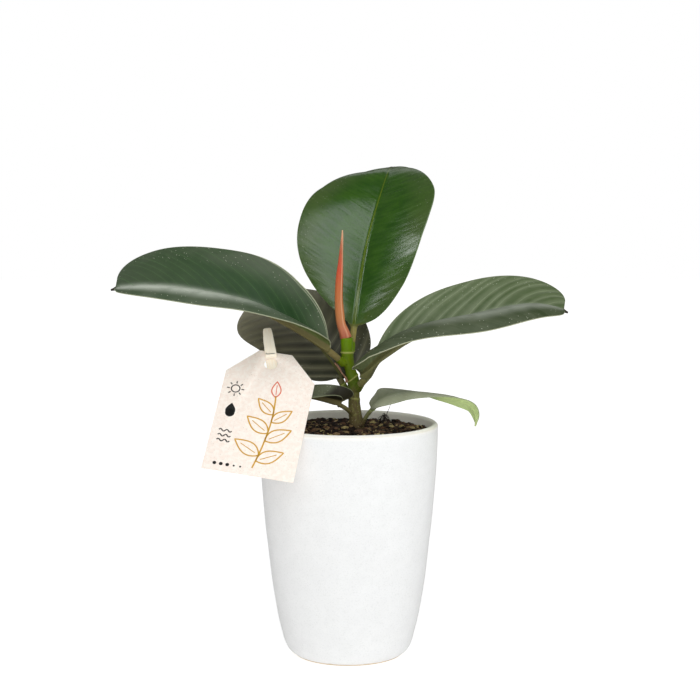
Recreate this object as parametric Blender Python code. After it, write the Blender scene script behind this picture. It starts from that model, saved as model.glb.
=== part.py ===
"""A potted rubber plant: glazed pot, soil, stem, six leaves, bud sheath, and a card tag on a clothes peg.

Lengths are in millimetres, and add_solid turns them into metres. +Z is up, and -Y faces the viewer.
"""
import math

import bmesh
import bpy
import numpy as np
from mathutils import Matrix, Vector

MM = 0.001
TOUCH = 0.3                     # gap between pieces that touch

# Pot, turned about Z: outer wall as (height, radius)
POT_OUTER = ((1.2, 41.5), (4.0, 44.6), (8.0, 46.6), (16.0, 48.8), (24.0, 50.8), (38.0, 53.4), (53.0, 55.8),
             (68.0, 57.6), (83.0, 59.2), (98.0, 60.8), (113.0, 62.2), (128.0, 63.4), (143.0, 64.3),
             (158.0, 64.8), (167.5, 65.0))
POT_HEIGHT = 170.0
POT_FOOT_RADIUS = 40.0
POT_RIM_RADIUS = 65.0
POT_WALL = 4.8
POT_FLOOR = 8.0
POT_SIDES = 56

# Soil
SOIL_EDGE_HEIGHT = 163.0
SOIL_CROWN = 3.6                # rise from the wall to the stem
SOIL_CLUMP = 1.1                # relief of the clumps
SOIL_RINGS = 11
SOIL_SIDES = 48

# Stem: centre line and radius
STEM = (((7.6, 1.0, 112.0), 3.4), ((7.4, 0.6, 140.0), 4.6), ((6.4, 0.0, 163.0), 5.4),
        ((6.0, 0.0, 168.0), 5.3), ((4.9, 0.0, 175.0), 4.8), ((4.2, 0.0, 182.5), 4.4),
        ((4.0, 0.0, 190.5), 4.1), ((3.7, 0.0, 199.0), 4.5), ((2.5, 0.0, 203.5), 4.6),
        ((1.3, 0.0, 208.0), 3.8), ((-0.4, 0.0, 216.0), 4.2), ((-0.9, 0.0, 220.0), 4.7),
        ((-1.0, 0.0, 222.0), 4.4), ((-1.2, 0.0, 230.0), 4.5), ((-1.2, 0.0, 231.6), 4.5))
STEM_SIDES = 18
BOSS_LENGTH = 7.0               # stub that carries each leaf stalk
BOSS_TAPER = (1.25, 1.18, 1.05)    # its radius from inside the stem outwards, over the stalk's
BOSS_SIDES = 12

# Leaves. rib: stalk foot, blade base, then along the midrib to the tip.
# face: which way the upper side looks at the base, middle and tip.
# Each half: width, where it is widest, how blunt its base and tip are, fold up from the rib at base,
# middle and tip in degrees, bend across the half likewise, and how far its edge runs ahead of the rib.
LEAVES = {
    "leaf_top": {
        "rib": ((2.4, 6.6, 228.5), (3.9, 11.0, 239.5), (7.6, 27.5, 264.3), (14.4, 50.0, 300.3),
                (23.9, 74.0, 332.1), (31.0, 98.0, 351.5), (33.5, 112.0, 355.0)),
        "stalk": 2.3,
        "face": ((-0.1, -1, 0.35), (-0.3, -1, 0.4), (-0.25, -0.8, 0.8)),
        "left": (54, 0.5, 0.85, 0.85, (25, 20, 12), (-25, -15, -22), (0.05, 0.05)),
        "right": (47.5, 0.62, 0.45, 0.95, (25, 22, 12), (-20, -15, -25), (0.03, 0)),
        "rows": 24,
    },
    "leaf_left": {
        "rib": ((-6.2, -5.0, 218.9), (-14.0, -10.0, 225.9), (-41.1, -13.0, 243.5), (-70.4, -12.0, 257.0),
                (-97.7, -9.0, 263.2), (-142.6, -4.0, 268.6), (-171.6, 2.0, 266.5)),
        "stalk": 2.4,
        "face": ((0.1, -0.1, 1), (0, -0.55, 1), (0, -0.35, 1)),
        "left": (32, 0.45, 0.7, 0.45, (50, 62, 45), (-30, -85, -70), (0, 0)),
        "right": (42, 0.58, 0.6, 0.29, (50, 24, 20), (20, -5, -10), (0.25, 0.2)),
        "rows": 26,
    },
    "leaf_right": {
        "rib": ((7.9, -5.0, 200.8), (11.8, -10.0, 206.4), (23.3, -14.0, 220.1), (36.9, -14.0, 230.6),
                (87.1, -9.0, 247.4), (141.7, -2.0, 254.8), (158.6, 0.0, 250.3)),
        "stalk": 2.7,
        "face": ((0, -0.1, 1), (0, -0.55, 1), (0, -0.35, 1)),
        "left": (33, 0.62, 1.35, 0.23, (40, 20, 15), (20, -5, -10), (0.3, 0.2)),
        "right": (36, 0.5, 0.36, 0.36, (91, 64, 45), (-103, -95, -70), (-0.15, 0)),
        "rows": 26,
    },
    "leaf_back": {
        "rib": ((-3.3, 4.0, 198.8), (-5.5, 6.3, 202.5), (-19.4, 15.0, 221.1), (-34.3, 25.0, 237.1),
                (-52.3, 37.0, 249.4), (-72.1, 50.0, 256.8)),
        "stalk": 2.4,
        "face": ((0.2, -0.4, 1), (0.2, -0.5, 0.85), (-0.1, -0.7, 1)),
        "left": (43, 0.6, 0.46, 0.3, (10, 5, 10), (-20, -20, -30), (-0.2, 0)),
        "right": (43, 0.4, 0.35, 0.5, (45, 22, 8), (-20, -20, -40), (0, 0)),
        "rows": 22,
    },
    "leaf_low_left": {
        "rib": ((0.6, -6.5, 180.6), (-6.0, -13.5, 186.0), (-19.0, -17.0, 190.6), (-41.7, -18.0, 193.4),
                (-61.6, -18.5, 191.6)),
        "stalk": 1.6,
        "face": ((0, 0.1, 1), (0, -0.1, 1), (0, 0, 1)),
        "left": (15, 0.5, 0.5, 0.5, (40, 30, 10), (0, -60, -20), (0, 0)),
        "right": (12.5, 0.3, 0.2, 0.5, (85, 22, 8), (20, 0, -20), (-1.1, 0.2)),
        "rows": 16,
    },
    "leaf_low_right": {
        "rib": ((11.3, -6.0, 174.6), (16.2, -10.0, 182.0), (22.6, -15.0, 189.1), (38.3, -18.0, 194.2),
                (59.5, -22.0, 194.2), (77.6, -23.0, 190.0), (89.0, -24.0, 184.0), (90.8, -24.0, 170.5)),
        "stalk": 1.5,
        "face": ((0, 0.1, 1), (0, 0.1, 1), (0.9, 0.4, 0.1)),
        "left": (15.5, 0.2, 0.35, 0.5, (60, -4, 10), (0, -20, 0), (-0.4, 0.3)),
        "right": (12, 0.35, 0.4, 0.7, (-25, 12, 10), (-60, -50, 0), (0.2, 0)),
        "rows": 18,
    },
}
BLADE_STEPS = (0.0, 0.05, 0.14, 0.3, 0.5, 0.72, 0.9, 1.0)    # columns of a half, from rib to edge
SMALL_STEPS = (0.0, 0.12, 0.35, 0.65, 1.0)
STALK_ROWS = 5
BLADE_THICK = 1.0
EDGE_THICK = 0.7
TIP_LENGTH = 0.022              # share of the blade that is its drip tip
TIP_WIDTH = 0.07
LEAF_COLOURS = {"leaf_top": (0.035, 0.12, 0.035), "leaf_left": (0.04, 0.085, 0.055),
                "leaf_right": (0.08, 0.12, 0.085), "leaf_back": (0.045, 0.06, 0.045),
                "leaf_low_left": (0.08, 0.11, 0.08), "leaf_low_right": (0.11, 0.15, 0.11)}

# Bud sheath on top of the stem, and the dry strip left by an older one
SHEATH = (((-2.0, -0.3, 231.9), 4.2), ((-3.0, -0.9, 235.5), 3.7), ((-5.0, -1.5, 240.5), 3.3),
          ((-6.4, -1.9, 250.0), 3.2), ((-7.0, -2.0, 259.0), 2.9), ((-6.9, -2.0, 267.5), 2.75),
          ((-6.5, -1.8, 276.0), 2.5), ((-5.8, -1.5, 285.0), 1.85), ((-5.2, -1.0, 294.0), 1.3),
          ((-4.6, -0.4, 303.0), 0.85), ((-4.3, 0.0, 309.4), 0.35))
SHEATH_SIDES = 12
STRIP = ((-1.3, -3.3, 199.5), (-2.4, -4.6, 203.0), (-5.2, -5.4, 207.0), (-7.4, -4.6, 210.5),
         (-10.0, -3.0, 213.8))
STRIP_WIDTH = 2.6
STRIP_THICK = 0.8
STRIP_TWIST = 150.0

# Card tag: local X right, Z up the card, Y through it; the origin is near its hole
TAG_PLACE = (-53.3, -18.8, 215.9)
TAG_ROLL, TAG_LEAN, TAG_YAW = 11.0, -40.0, 2.2
TAG_OUTLINE = ((-12.0, 8.0), (12.0, 8.0), (32.0, -13.0), (32.0, -94.0), (-32.0, -94.0), (-32.0, -13.0))
TAG_THICK = 0.8
TAG_HOLE = (-1.5, -1.8)
TAG_HOLE_RADIUS = 4.7

# Clothes peg: local Z from the jaws up to the handles, Y from the front leg to the back leg
PEG_TURN = -18.5                # turned on the card
PEG_FOOT = (-2.3, 2.8)          # jaw tips on the card
PEG_LENGTH = 24.0
PEG_WIDE = ((-10.0, 7.6), (2.0, 8.2), (20.5, 6.6), (22.8, 5.6), (24.0, 3.8))    # width along a leg
PEG_LEG = 3.0
PEG_FRONT_FACE = -0.7           # inner faces at the jaws
PEG_BACK_FACE = 0.7
PEG_PIVOT = 11.0
PEG_SPREAD = 9.0                # how far each handle splays, degrees
PEG_BACK_DROP = 9.5             # the back leg is longer below
SPRING_RADIUS = 2.1             # outside of the coil
SPRING_LENGTH = 7.6


def smooth_path(points, t):
    """Points on a smooth curve through the given ones, t from 0 to 1 by length."""
    p = np.asarray(points, float)
    knots = np.concatenate([[0], np.cumsum(np.linalg.norm(np.diff(p, axis=0), axis=1))])
    knots /= knots[-1]
    slope = np.gradient(p, knots, axis=0, edge_order=2 if len(p) > 2 else 1)
    t = np.clip(np.asarray(t, float), 0, 1)
    i = np.clip(np.searchsorted(knots, t, side="right") - 1, 0, len(p) - 2)
    h = (knots[i + 1] - knots[i])[..., None]
    s = (t - knots[i])[..., None] / h
    return ((2 * s**3 - 3 * s**2 + 1) * p[i] + (s**3 - 2 * s**2 + s) * h * slope[i]
            + (-2 * s**3 + 3 * s**2) * p[i + 1] + (s**3 - s**2) * h * slope[i + 1])


def unit(v):
    """Vectors at length 1."""
    return v / np.linalg.norm(v, axis=-1, keepdims=True)


def through_three(values, t):
    """A smooth change through values at t 0, 0.5 and 1."""
    a, b, c = (np.asarray(v, float) for v in values)
    t = t[:, None] if a.ndim else t
    return a * (1 - 2 * t) * (1 - t) + b * 4 * t * (1 - t) + c * t * (2 * t - 1)


def material(name, colour, roughness, metallic=0.0):
    """A plain Principled material."""
    made = bpy.data.materials.new(name)
    made.use_nodes = True
    shader = made.node_tree.nodes["Principled BSDF"]
    shader.inputs["Base Color"].default_value = (*colour, 1.0)
    shader.inputs["Roughness"].default_value = roughness
    shader.inputs["Metallic"].default_value = metallic
    made.diffuse_color = (*colour, 1.0)
    return made


def add_solid(name, points, faces, look, smooth=True, place=None):
    """A mesh object from millimetre points, with its normals outward, set at a place."""
    mesh = bpy.data.meshes.new(name)
    mesh.from_pydata([tuple(p) for p in np.asarray(points, float) * MM], [], faces)
    shaped = bmesh.new()
    shaped.from_mesh(mesh)
    bmesh.ops.recalc_face_normals(shaped, faces=shaped.faces)
    shaped.to_mesh(mesh)
    shaped.free()
    for face in mesh.polygons:
        face.use_smooth = smooth
    mesh.materials.append(look)
    solid = bpy.data.objects.new(name, mesh)
    bpy.context.scene.collection.objects.link(solid)
    if place is not None:
        metres = place.copy()
        metres.translation = place.translation * MM
        solid.matrix_world = metres
    return solid


def join_rings(rings):
    """Points and faces of a closed tube through rings of equal count, with flat ends."""
    count = len(rings[0])
    points = np.concatenate(rings)
    faces = [tuple(range(count))[::-1], tuple(range(len(points) - count, len(points)))]
    for i in range(len(rings) - 1):
        a, b = i * count, (i + 1) * count
        for j in range(count):
            k = (j + 1) % count
            faces.append((a + j, a + k, b + k, b + j))
    return points, faces


def tube_rings(centres, radii, sides, flatten=1.0):
    """Round rings square to a path."""
    centres = np.asarray(centres, float)
    ahead = unit(np.gradient(centres, axis=0))
    reference = np.array([1.0, 0.0, 0.0])
    rings = []
    for centre, radius, forward in zip(centres, radii, ahead):
        across = unit(reference - forward * (reference @ forward))
        up = np.cross(forward, across)
        angles = np.arange(sides) * 2 * math.pi / sides
        rings.append(centre + radius * (np.cos(angles)[:, None] * across
                                        + flatten * np.sin(angles)[:, None] * up))
    return rings


def turned(profile, sides):
    """Points and faces of a solid turned about Z from an open profile whose ends lie on the axis."""
    angles = np.arange(sides) * 2 * math.pi / sides
    points = [(0.0, 0.0, profile[0][1])]
    for radius, height in profile[1:-1]:
        points.extend((radius * math.cos(a), radius * math.sin(a), height) for a in angles)
    points.append((0.0, 0.0, profile[-1][1]))
    rows = len(profile) - 2
    last = len(points) - 1
    faces = []
    for j in range(sides):
        k = (j + 1) % sides
        faces.append((0, 1 + k, 1 + j))
        faces.append((last, 1 + (rows - 1) * sides + j, 1 + (rows - 1) * sides + k))
        for i in range(rows - 1):
            a, b = 1 + i * sides, 1 + (i + 1) * sides
            faces.append((a + j, a + k, b + k, b + j))
    return points, faces


def combine(target, others, operation):
    """Applies one Boolean with each of the other objects, which are then removed."""
    for other in others:
        change = target.modifiers.new("combine", "BOOLEAN")
        change.operation = operation
        change.solver = "EXACT"
        change.object = other
        depsgraph = bpy.context.evaluated_depsgraph_get()
        mesh = bpy.data.meshes.new_from_object(target.evaluated_get(depsgraph))
        target.modifiers.clear()
        target.data = mesh
        bpy.data.objects.remove(other)
    for face in target.data.polygons:
        face.use_smooth = True


def pot_inner_radius(height):
    """Radius of the pot's inner wall."""
    heights = [z for z, r in POT_OUTER]
    radii = [r for z, r in POT_OUTER]
    return float(np.interp(height, heights, radii)) - POT_WALL


def make_pot():
    """The glazed pot: flat foot, swelling wall, rounded lip."""
    middle = POT_RIM_RADIUS - POT_WALL / 2
    lip = [(middle + POT_WALL / 2 * math.cos(a), POT_HEIGHT - 2.4 + 2.4 * math.sin(a))
           for a in np.linspace(0, math.pi, 7)[1:-1]]
    inside = [(pot_inner_radius(z), z) for z in (167.5, 158, 143, 128, 113, 98, 83, 68, 53, 38, 24, 16)]
    profile = ([(0.0, 0.0), (POT_FOOT_RADIUS, 0.0)] + [(r, z) for z, r in POT_OUTER] + lip + inside
               + [(pot_inner_radius(16) - 4.0, POT_FLOOR + 2.0), (pot_inner_radius(16) - 9.0, POT_FLOOR),
                  (0.0, POT_FLOOR)])
    points, faces = turned(profile, POT_SIDES)
    return add_solid("pot", points, faces, material("pot", (0.83, 0.82, 0.80), 0.45))


def soil_height(x, y):
    """Surface of the soil, with clumps."""
    radius = math.hypot(x, y)
    crown = SOIL_CROWN * max(0.0, 1 - radius / 55.0)
    clumps = (math.sin(x * 0.61 + 1.3) * math.sin(y * 0.53 - 0.4) + 0.7 * math.sin(x * 0.27 - y * 0.33)
              + 0.5 * math.sin(x * 0.9 + y * 1.1 + 2.0))
    return SOIL_EDGE_HEIGHT + crown + SOIL_CLUMP * 0.5 * clumps


def stem_at(height):
    """Centre and radius of the stem at a height."""
    heights = [c[2] for c, r in STEM]
    x = float(np.interp(height, heights, [c[0] for c, r in STEM]))
    y = float(np.interp(height, heights, [c[1] for c, r in STEM]))
    return x, y, float(np.interp(height, heights, [r for c, r in STEM]))


def make_soil():
    """The soil that fills the pot, with a plain blind hole for the stem."""
    wall = [(pot_inner_radius(z) - TOUCH, z) for z in (16, 24, 38, 53, 68, 83, 98, 113, 128, 143, 158)]
    bottom = [(pot_inner_radius(16) - 9.0 - TOUCH, POT_FLOOR + TOUCH),
              (pot_inner_radius(16) - 4.0 - TOUCH * 1.5, POT_FLOOR + 2.0 + TOUCH)]
    edge = pot_inner_radius(SOIL_EDGE_HEIGHT) - TOUCH
    top = [(edge * (1 - i / SOIL_RINGS), 0.0) for i in range(SOIL_RINGS)]
    profile = [(0.0, POT_FLOOR + TOUCH)] + bottom + wall + top + [(0.0, 0.0)]
    points, faces = turned(profile, SOIL_SIDES)
    first_top = 1 + (len(bottom) + len(wall)) * SOIL_SIDES
    for i in range(first_top, len(points)):
        x, y, _ = points[i]
        points[i] = (x, y, soil_height(x, y))
    soil = add_solid("soil", points, faces, material("soil", (0.075, 0.05, 0.038), 0.95))
    top_height = SOIL_EDGE_HEIGHT + SOIL_CROWN + 8.0
    low = STEM[0][0][2] - TOUCH
    heights = [low] + [c[2] for c, r in STEM if low < c[2] < top_height] + [top_height]
    hole = [stem_at(z) for z in heights]
    rings = tube_rings([(x, y, z) for (x, y, r), z in zip(hole, heights)],
                       [r + TOUCH * 1.6 for x, y, r in hole], STEM_SIDES)
    rings[0] = rings[0] * (1, 1, 0) + (0, 0, low)
    cutter = add_solid("stem_hole_cutter", *join_rings(rings), material("cutter", (0.5, 0.5, 0.5), 0.5))
    combine(soil, [cutter], "DIFFERENCE")
    return soil


def half_width(t, widest, base_power, tip_power):
    """Share of the full half-width along the rib, ending in a drip tip."""
    before = np.clip((widest - t) / widest, 0, 1)
    after = np.clip((t - widest) / (1 - TIP_LENGTH - widest), 0, 1)
    share = np.where(t < widest, (1 - before**2.2) ** base_power, (1 - after**2.2) ** tip_power)
    point = TIP_WIDTH * np.clip((1 - t) / TIP_LENGTH, 0.22, 1)
    return (share**3 + point**3) ** (1 / 3)


def rib_frame(row, g):
    """Rib points with their forward, right and up directions, for path shares g."""
    path = np.asarray(row["rib"], float)
    steps = np.linalg.norm(np.diff(path, axis=0), axis=1)
    start = steps[0] / steps.sum()
    rib = smooth_path(path, g)
    ahead = unit(smooth_path(path, np.clip(g + 0.01, 0, 1)) - smooth_path(path, np.clip(g - 0.01, 0, 1)))
    face = through_three(row["face"], np.clip((g - start) / (1 - start), 0, 1))
    right = unit(np.cross(ahead, face))
    return rib, ahead, right, np.cross(right, ahead), start


def blade_grid(row, t, steps):
    """Upper side of a blade: points by row and column, and each column's distance from the rib."""
    _, _, _, _, start = rib_frame(row, np.zeros(1))
    rib, ahead, right, up, _ = rib_frame(row, start + (1 - start) * t)
    s = np.asarray(steps)
    halves = []
    distances = []
    for sign, key in ((-1, "left"), (1, "right")):
        width, widest, base_power, tip_power, fold, bend, run = row[key]
        wide = half_width(t, widest, base_power, tip_power)
        ease = np.clip(wide / 0.35, 0, 1)
        fold = np.radians(through_three(fold, t))[:, None]
        bend = (np.radians(through_three(bend, t)) * ease)[:, None]
        bend = np.where(np.abs(bend) < 1e-3, 1e-3, bend)
        reach = (wide * width)[:, None]
        across = (np.sin(fold + bend * s) - np.sin(fold)) / bend * reach
        lift = (np.cos(fold) - np.cos(fold + bend * s)) / bend * reach
        forward = s * reach * (run[0] + (run[1] - run[0]) * t)[:, None]
        halves.append(rib[:, None] + sign * across[..., None] * right[:, None]
                      + lift[..., None] * up[:, None] + forward[..., None] * ahead[:, None])
        distances.append(s * reach)
    grid = np.concatenate([halves[0][:, :0:-1], halves[1]], axis=1)
    return grid, np.concatenate([distances[0][:, :0:-1], distances[1]], axis=1)


def grid_normals(grid):
    """Upward directions of a blade's upper side."""
    along = np.gradient(grid, axis=0)
    across = np.gradient(grid, axis=1)
    return unit(np.cross(across, along))


def leaf_layers(row):
    """Upper and lower points of a whole leaf, stalk first, by row and column."""
    steps = BLADE_STEPS if row["rows"] > 20 else SMALL_STEPS
    t = 0.5 - 0.5 * np.cos(np.linspace(0, math.pi, row["rows"] + 1))
    t = 0.6 * t + 0.4 * np.linspace(0, 1, row["rows"] + 1)
    upper, distance = blade_grid(row, t, steps)
    edge = np.abs(np.concatenate([-np.asarray(steps)[:0:-1], np.asarray(steps)]))
    rib_depth = row["stalk"] * 1.7 * (1 - t) ** 0.8 + 0.25
    thick = (BLADE_THICK + (EDGE_THICK - BLADE_THICK) * edge)[None] \
        + rib_depth[:, None] * np.exp(-(distance / (row["stalk"] * 0.8)) ** 2)
    lower = upper - grid_normals(upper) * thick[..., None]
    columns = upper.shape[1]
    radius = row["stalk"]
    _, _, _, _, start = rib_frame(row, np.zeros(1))
    g = np.linspace(0, start, STALK_ROWS + 1)[:-1]
    rib, ahead, right, up, _ = rib_frame(row, g)
    centre = rib - up * radius
    angles = np.linspace(math.pi - 0.2, 0.2, columns)
    ring_up = (centre[:, None] + radius * (np.cos(angles)[None, :, None] * right[:, None]
                                           + np.sin(angles)[None, :, None] * up[:, None]))
    ring_down = (centre[:, None] + radius * (np.cos(angles)[None, :, None] * right[:, None]
                                             - np.sin(angles)[None, :, None] * up[:, None]))
    return np.concatenate([ring_up, upper]), np.concatenate([ring_down, lower])


def layered_faces(rows, columns):
    """Triangles of a closed leaf whose upper and lower points share one grid."""
    lower = rows * columns
    faces = []
    for i in range(rows - 1):
        for j in range(columns - 1):
            a = i * columns + j
            b = a + 1
            c = b + columns
            d = a + columns
            faces += [(a, b, c), (a, c, d)]
            faces += [(lower + a, lower + c, lower + b), (lower + a, lower + d, lower + c)]
        for j, flip in ((0, False), (columns - 1, True)):
            a, d = i * columns + j, (i + 1) * columns + j
            side = [(a, d, lower + d), (a, lower + d, lower + a)]
            faces += [f[::-1] for f in side] if flip else side
    for i, flip in ((0, False), (rows - 1, True)):
        for j in range(columns - 1):
            a, b = i * columns + j, i * columns + j + 1
            end = [(a, lower + a, lower + b), (a, lower + b, b)]
            faces += [f[::-1] for f in end] if flip else end
    return faces


def stalk_foot(row):
    """Centre of a stalk's flat foot and the direction it leaves the stem in."""
    rib, ahead, _, up, _ = rib_frame(row, np.zeros(1))
    return rib[0] - up[0] * row["stalk"], ahead[0]


def make_leaves():
    """Each leaf, stalk and blade in one solid."""
    for name, row in LEAVES.items():
        upper, lower = leaf_layers(row)
        points = np.concatenate([upper.reshape(-1, 3), lower.reshape(-1, 3)])
        faces = layered_faces(upper.shape[0], upper.shape[1])
        add_solid(name, points, faces, material(name, LEAF_COLOURS[name], 0.35))


def make_stem():
    """The stem with its buried foot and a short stub under each leaf stalk."""
    t = np.linspace(0, 1, 34)
    centres = smooth_path([c for c, r in STEM], t)
    centres[0], centres[-1] = STEM[0][0], STEM[-1][0]
    radii = [stem_at(z)[2] for z in centres[:, 2]]
    rings = tube_rings(centres, radii, STEM_SIDES)
    rings[0] = rings[0] * (1, 1, 0) + (0, 0, STEM[0][0][2])
    rings[-1] = rings[-1] * (1, 1, 0) + (0, 0, STEM[-1][0][2])
    look = material("stem", (0.14, 0.2, 0.05), 0.5)
    stem = add_solid("stem", *join_rings(rings), look)
    stubs = []
    for name, row in LEAVES.items():
        foot, ahead = stalk_foot(row)
        ends = [foot - ahead * (TOUCH + BOSS_LENGTH * back) for back in (1.0, 0.5, 0.0)]
        radii = [row["stalk"] * grow for grow in BOSS_TAPER]
        stubs.append(add_solid(name + "_stub", *join_rings(tube_rings(ends, radii, BOSS_SIDES)), look))
    combine(stem, stubs, "UNION")
    return stem


def make_sheath():
    """The rolled sheath round the next leaf."""
    rings = tube_rings([c for c, r in SHEATH], [r for c, r in SHEATH], SHEATH_SIDES, flatten=0.85)
    rings[0] = rings[0] * (1, 1, 0) + (0, 0, SHEATH[0][0][2])
    add_solid("bud_sheath", *join_rings(rings), material("bud_sheath", (0.62, 0.16, 0.07), 0.4))


def make_strip():
    """The dry, twisted strip at the second joint of the stem."""
    t = np.linspace(0, 1, 13)
    centres = smooth_path(STRIP, t)
    ahead = unit(np.gradient(centres, axis=0))
    rings = []
    for centre, forward, share in zip(centres, ahead, t):
        turn = math.radians(STRIP_TWIST) * share + 0.5
        base = unit(np.cross(forward, (0.0, 1.0, 0.0)))
        other = np.cross(forward, base)
        across = base * math.cos(turn) + other * math.sin(turn)
        through = np.cross(forward, across)
        wide = STRIP_WIDTH / 2 * (1 - 0.45 * share)
        rings.append(np.array([centre + across * wide * a + through * STRIP_THICK / 2 * b
                               for a, b in ((-1, -0.6), (0, -1), (1, -0.6), (1, 0.6), (0, 1), (-1, 0.6))]))
    add_solid("dry_strip", *join_rings(rings), material("dry_strip", (0.3, 0.14, 0.09), 0.7))


def tag_matrix():
    """From the card's own axes to the part's."""
    turn = (Matrix.Rotation(math.radians(TAG_YAW), 4, "Z") @ Matrix.Rotation(math.radians(TAG_LEAN), 4, "X")
            @ Matrix.Rotation(math.radians(TAG_ROLL), 4, "Y"))
    return Matrix.Translation(Vector(TAG_PLACE)) @ turn


def peg_matrix():
    """From the peg's own axes, with the origin on its pivot, to the part's."""
    return (tag_matrix() @ Matrix.Translation(Vector((PEG_FOOT[0], 0.0, PEG_FOOT[1])))
            @ Matrix.Rotation(math.radians(PEG_TURN), 4, "Y")
            @ Matrix.Translation(Vector((0.0, 0.0, PEG_PIVOT))))


def make_tag():
    """The card with cut upper corners and a round hole."""
    rings = [np.array([(x, y, z) for x, z in TAG_OUTLINE]) for y in (-TAG_THICK / 2, TAG_THICK / 2)]
    points, faces = join_rings(rings)
    look = material("tag", (0.62, 0.55, 0.46), 0.9)
    tag = add_solid("tag", points, faces, look, smooth=False, place=tag_matrix())
    ends = [(TAG_HOLE[0], y, TAG_HOLE[1]) for y in (-3.0, 0.0, 3.0)]
    hole_points, hole_faces = join_rings(tube_rings(ends, [TAG_HOLE_RADIUS] * 3, 20))
    cutter = add_solid("tag_hole_cutter", hole_points, hole_faces, look, place=tag_matrix())
    bpy.context.view_layer.update()
    combine(tag, [cutter], "DIFFERENCE")
    for face in tag.data.polygons:
        face.use_smooth = False


def leg_profile(side):
    """Inner and outer face of one leg as (along, through) points; side -1 is the front leg, 1 the back."""
    face = PEG_FRONT_FACE if side < 0 else PEG_BACK_FACE
    middle = (PEG_FRONT_FACE + PEG_BACK_FACE) / 2
    drop = PEG_BACK_DROP if side > 0 else 0.0
    splay = face + side * math.tan(math.radians(PEG_SPREAD)) * (PEG_LENGTH - PEG_PIVOT - 2.5)
    groove_radius = SPRING_RADIUS + TOUCH * 1.1
    open_angle = math.acos(min(1.0, abs(face - middle) / groove_radius))
    groove = [(PEG_PIVOT + groove_radius * math.sin(a), middle + side * groove_radius * math.cos(a))
              for a in np.linspace(-open_angle, open_angle, 7)]
    inner = [(-drop, face)] + groove + [(PEG_LENGTH, splay)]
    outer = [(-drop, face + side * PEG_LEG * 0.5), (2.0 - drop, face + side * PEG_LEG * 0.85),
             (PEG_PIVOT - 3.0, face + side * PEG_LEG), (PEG_PIVOT + 3.0, face + side * (PEG_LEG + 0.6)),
             (PEG_LENGTH - 1.2, splay + side * PEG_LEG * 0.9), (PEG_LENGTH, splay + side * PEG_LEG * 0.55)]
    return inner, outer


def leg_rings(side):
    """Cross-sections of one leg from its jaw to its handle."""
    inner, outer = leg_profile(side)
    ends = inner[0][0], PEG_LENGTH
    along = sorted({z for z, _ in inner + outer + list(PEG_WIDE) if ends[0] <= z <= ends[1]})
    rings = []
    for z in along:
        near = float(np.interp(z, [p[0] for p in inner], [p[1] for p in inner]))
        far = float(np.interp(z, [p[0] for p in outer], [p[1] for p in outer]))
        half = float(np.interp(z, [p[0] for p in PEG_WIDE], [p[1] for p in PEG_WIDE])) / 2
        rings.append(np.array([(-half, near, z - PEG_PIVOT), (half, near, z - PEG_PIVOT),
                               (half, far, z - PEG_PIVOT), (-half, far, z - PEG_PIVOT)]))
    return rings


def make_peg():
    """The two wooden legs and the wire spring between them."""
    wood = material("peg_wood", (0.66, 0.5, 0.32), 0.75)
    for name, side in (("peg_leg_front", -1), ("peg_leg_back", 1)):
        points, faces = join_rings(leg_rings(side))
        add_solid(name, points, faces, wood, smooth=False, place=peg_matrix())
    wire = material("peg_spring", (0.6, 0.6, 0.6), 0.3, 1.0)
    across = np.linspace(-SPRING_LENGTH / 2, SPRING_LENGTH / 2, 5)
    rings = tube_rings([(0.0, 0.0, x) for x in across], [SPRING_RADIUS] * 5, 14)
    points, faces = join_rings([ring[:, ::-1] for ring in rings])
    add_solid("peg_spring", points, faces, wire, place=peg_matrix())


def main():
    """Clears the scene and models every piece."""
    for old in list(bpy.data.objects):
        bpy.data.objects.remove(old)
    make_pot()
    make_soil()
    make_stem()
    make_leaves()
    make_sheath()
    make_strip()
    make_tag()
    make_peg()


main()
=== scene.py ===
"""The looks of a potted rubber plant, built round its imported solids.

Shapes are worked out in millimetres and turned into metres as each piece is made.
+Z is up, -Y faces the viewer, and the origin is the middle of the pot's foot.
"""
import math

import bpy
import numpy as np
from mathutils import Matrix, Vector, noise


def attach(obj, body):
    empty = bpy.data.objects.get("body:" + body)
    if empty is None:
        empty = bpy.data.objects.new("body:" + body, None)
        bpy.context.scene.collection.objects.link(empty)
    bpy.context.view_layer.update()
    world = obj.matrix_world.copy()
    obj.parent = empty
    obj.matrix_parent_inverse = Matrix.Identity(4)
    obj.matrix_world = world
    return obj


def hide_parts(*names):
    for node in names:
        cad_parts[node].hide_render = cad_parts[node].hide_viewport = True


MM = 0.001
PLANT = "plant"
PEG_FRONT = "peg_front"

# Camera, fitted to the photograph
CAMERA_PLACE = (1.1, -1173.0, 347.0)
CAMERA_PITCH = 6.05             # degrees below the horizon
CAMERA_FOCAL = 1629.0           # pixels
PHOTO_WIDTH = 700.0
SENSOR = 36.0

# Light: name, azimuth from the viewer to the right, elevation, distance, size in metres, turn about its own
# axis, surface brightness, and whether it shows in glossy surfaces
LIGHT_AIM = Vector((0.0, 0.0, 0.25))
SOFTBOXES = (("key_light", 9, 69, 1.4, (0.48, 0.86), 27, 2.6, True),
             ("left_light", -73, 56, 1.4, (0.24, 0.2), 0, 8.0, True),
             ("back_light", 180, 41, 1.5, (1.7, 0.4), 0, 0.6, True),
             ("front_light", 4, 32, 1.5, (2.4, 1.2), 0, 1.55, False),
             ("low_light", 2, 10, 1.5, (1.6, 0.4), 0, 1.4, False),
             ("right_fill", 84, 26, 1.5, (1.2, 1.2), 0, 1.25, False),
             ("left_fill", -88, 22, 1.5, (1.2, 1.2), 0, 0.5, False))
LIGHT_TINT = (0.96, 0.99, 1.0)
FLOOR_RADIUS = 4500.0
FLOOR_LEVELS = (-20.0, -0.2)
FLOOR_SIDES = 96
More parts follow.
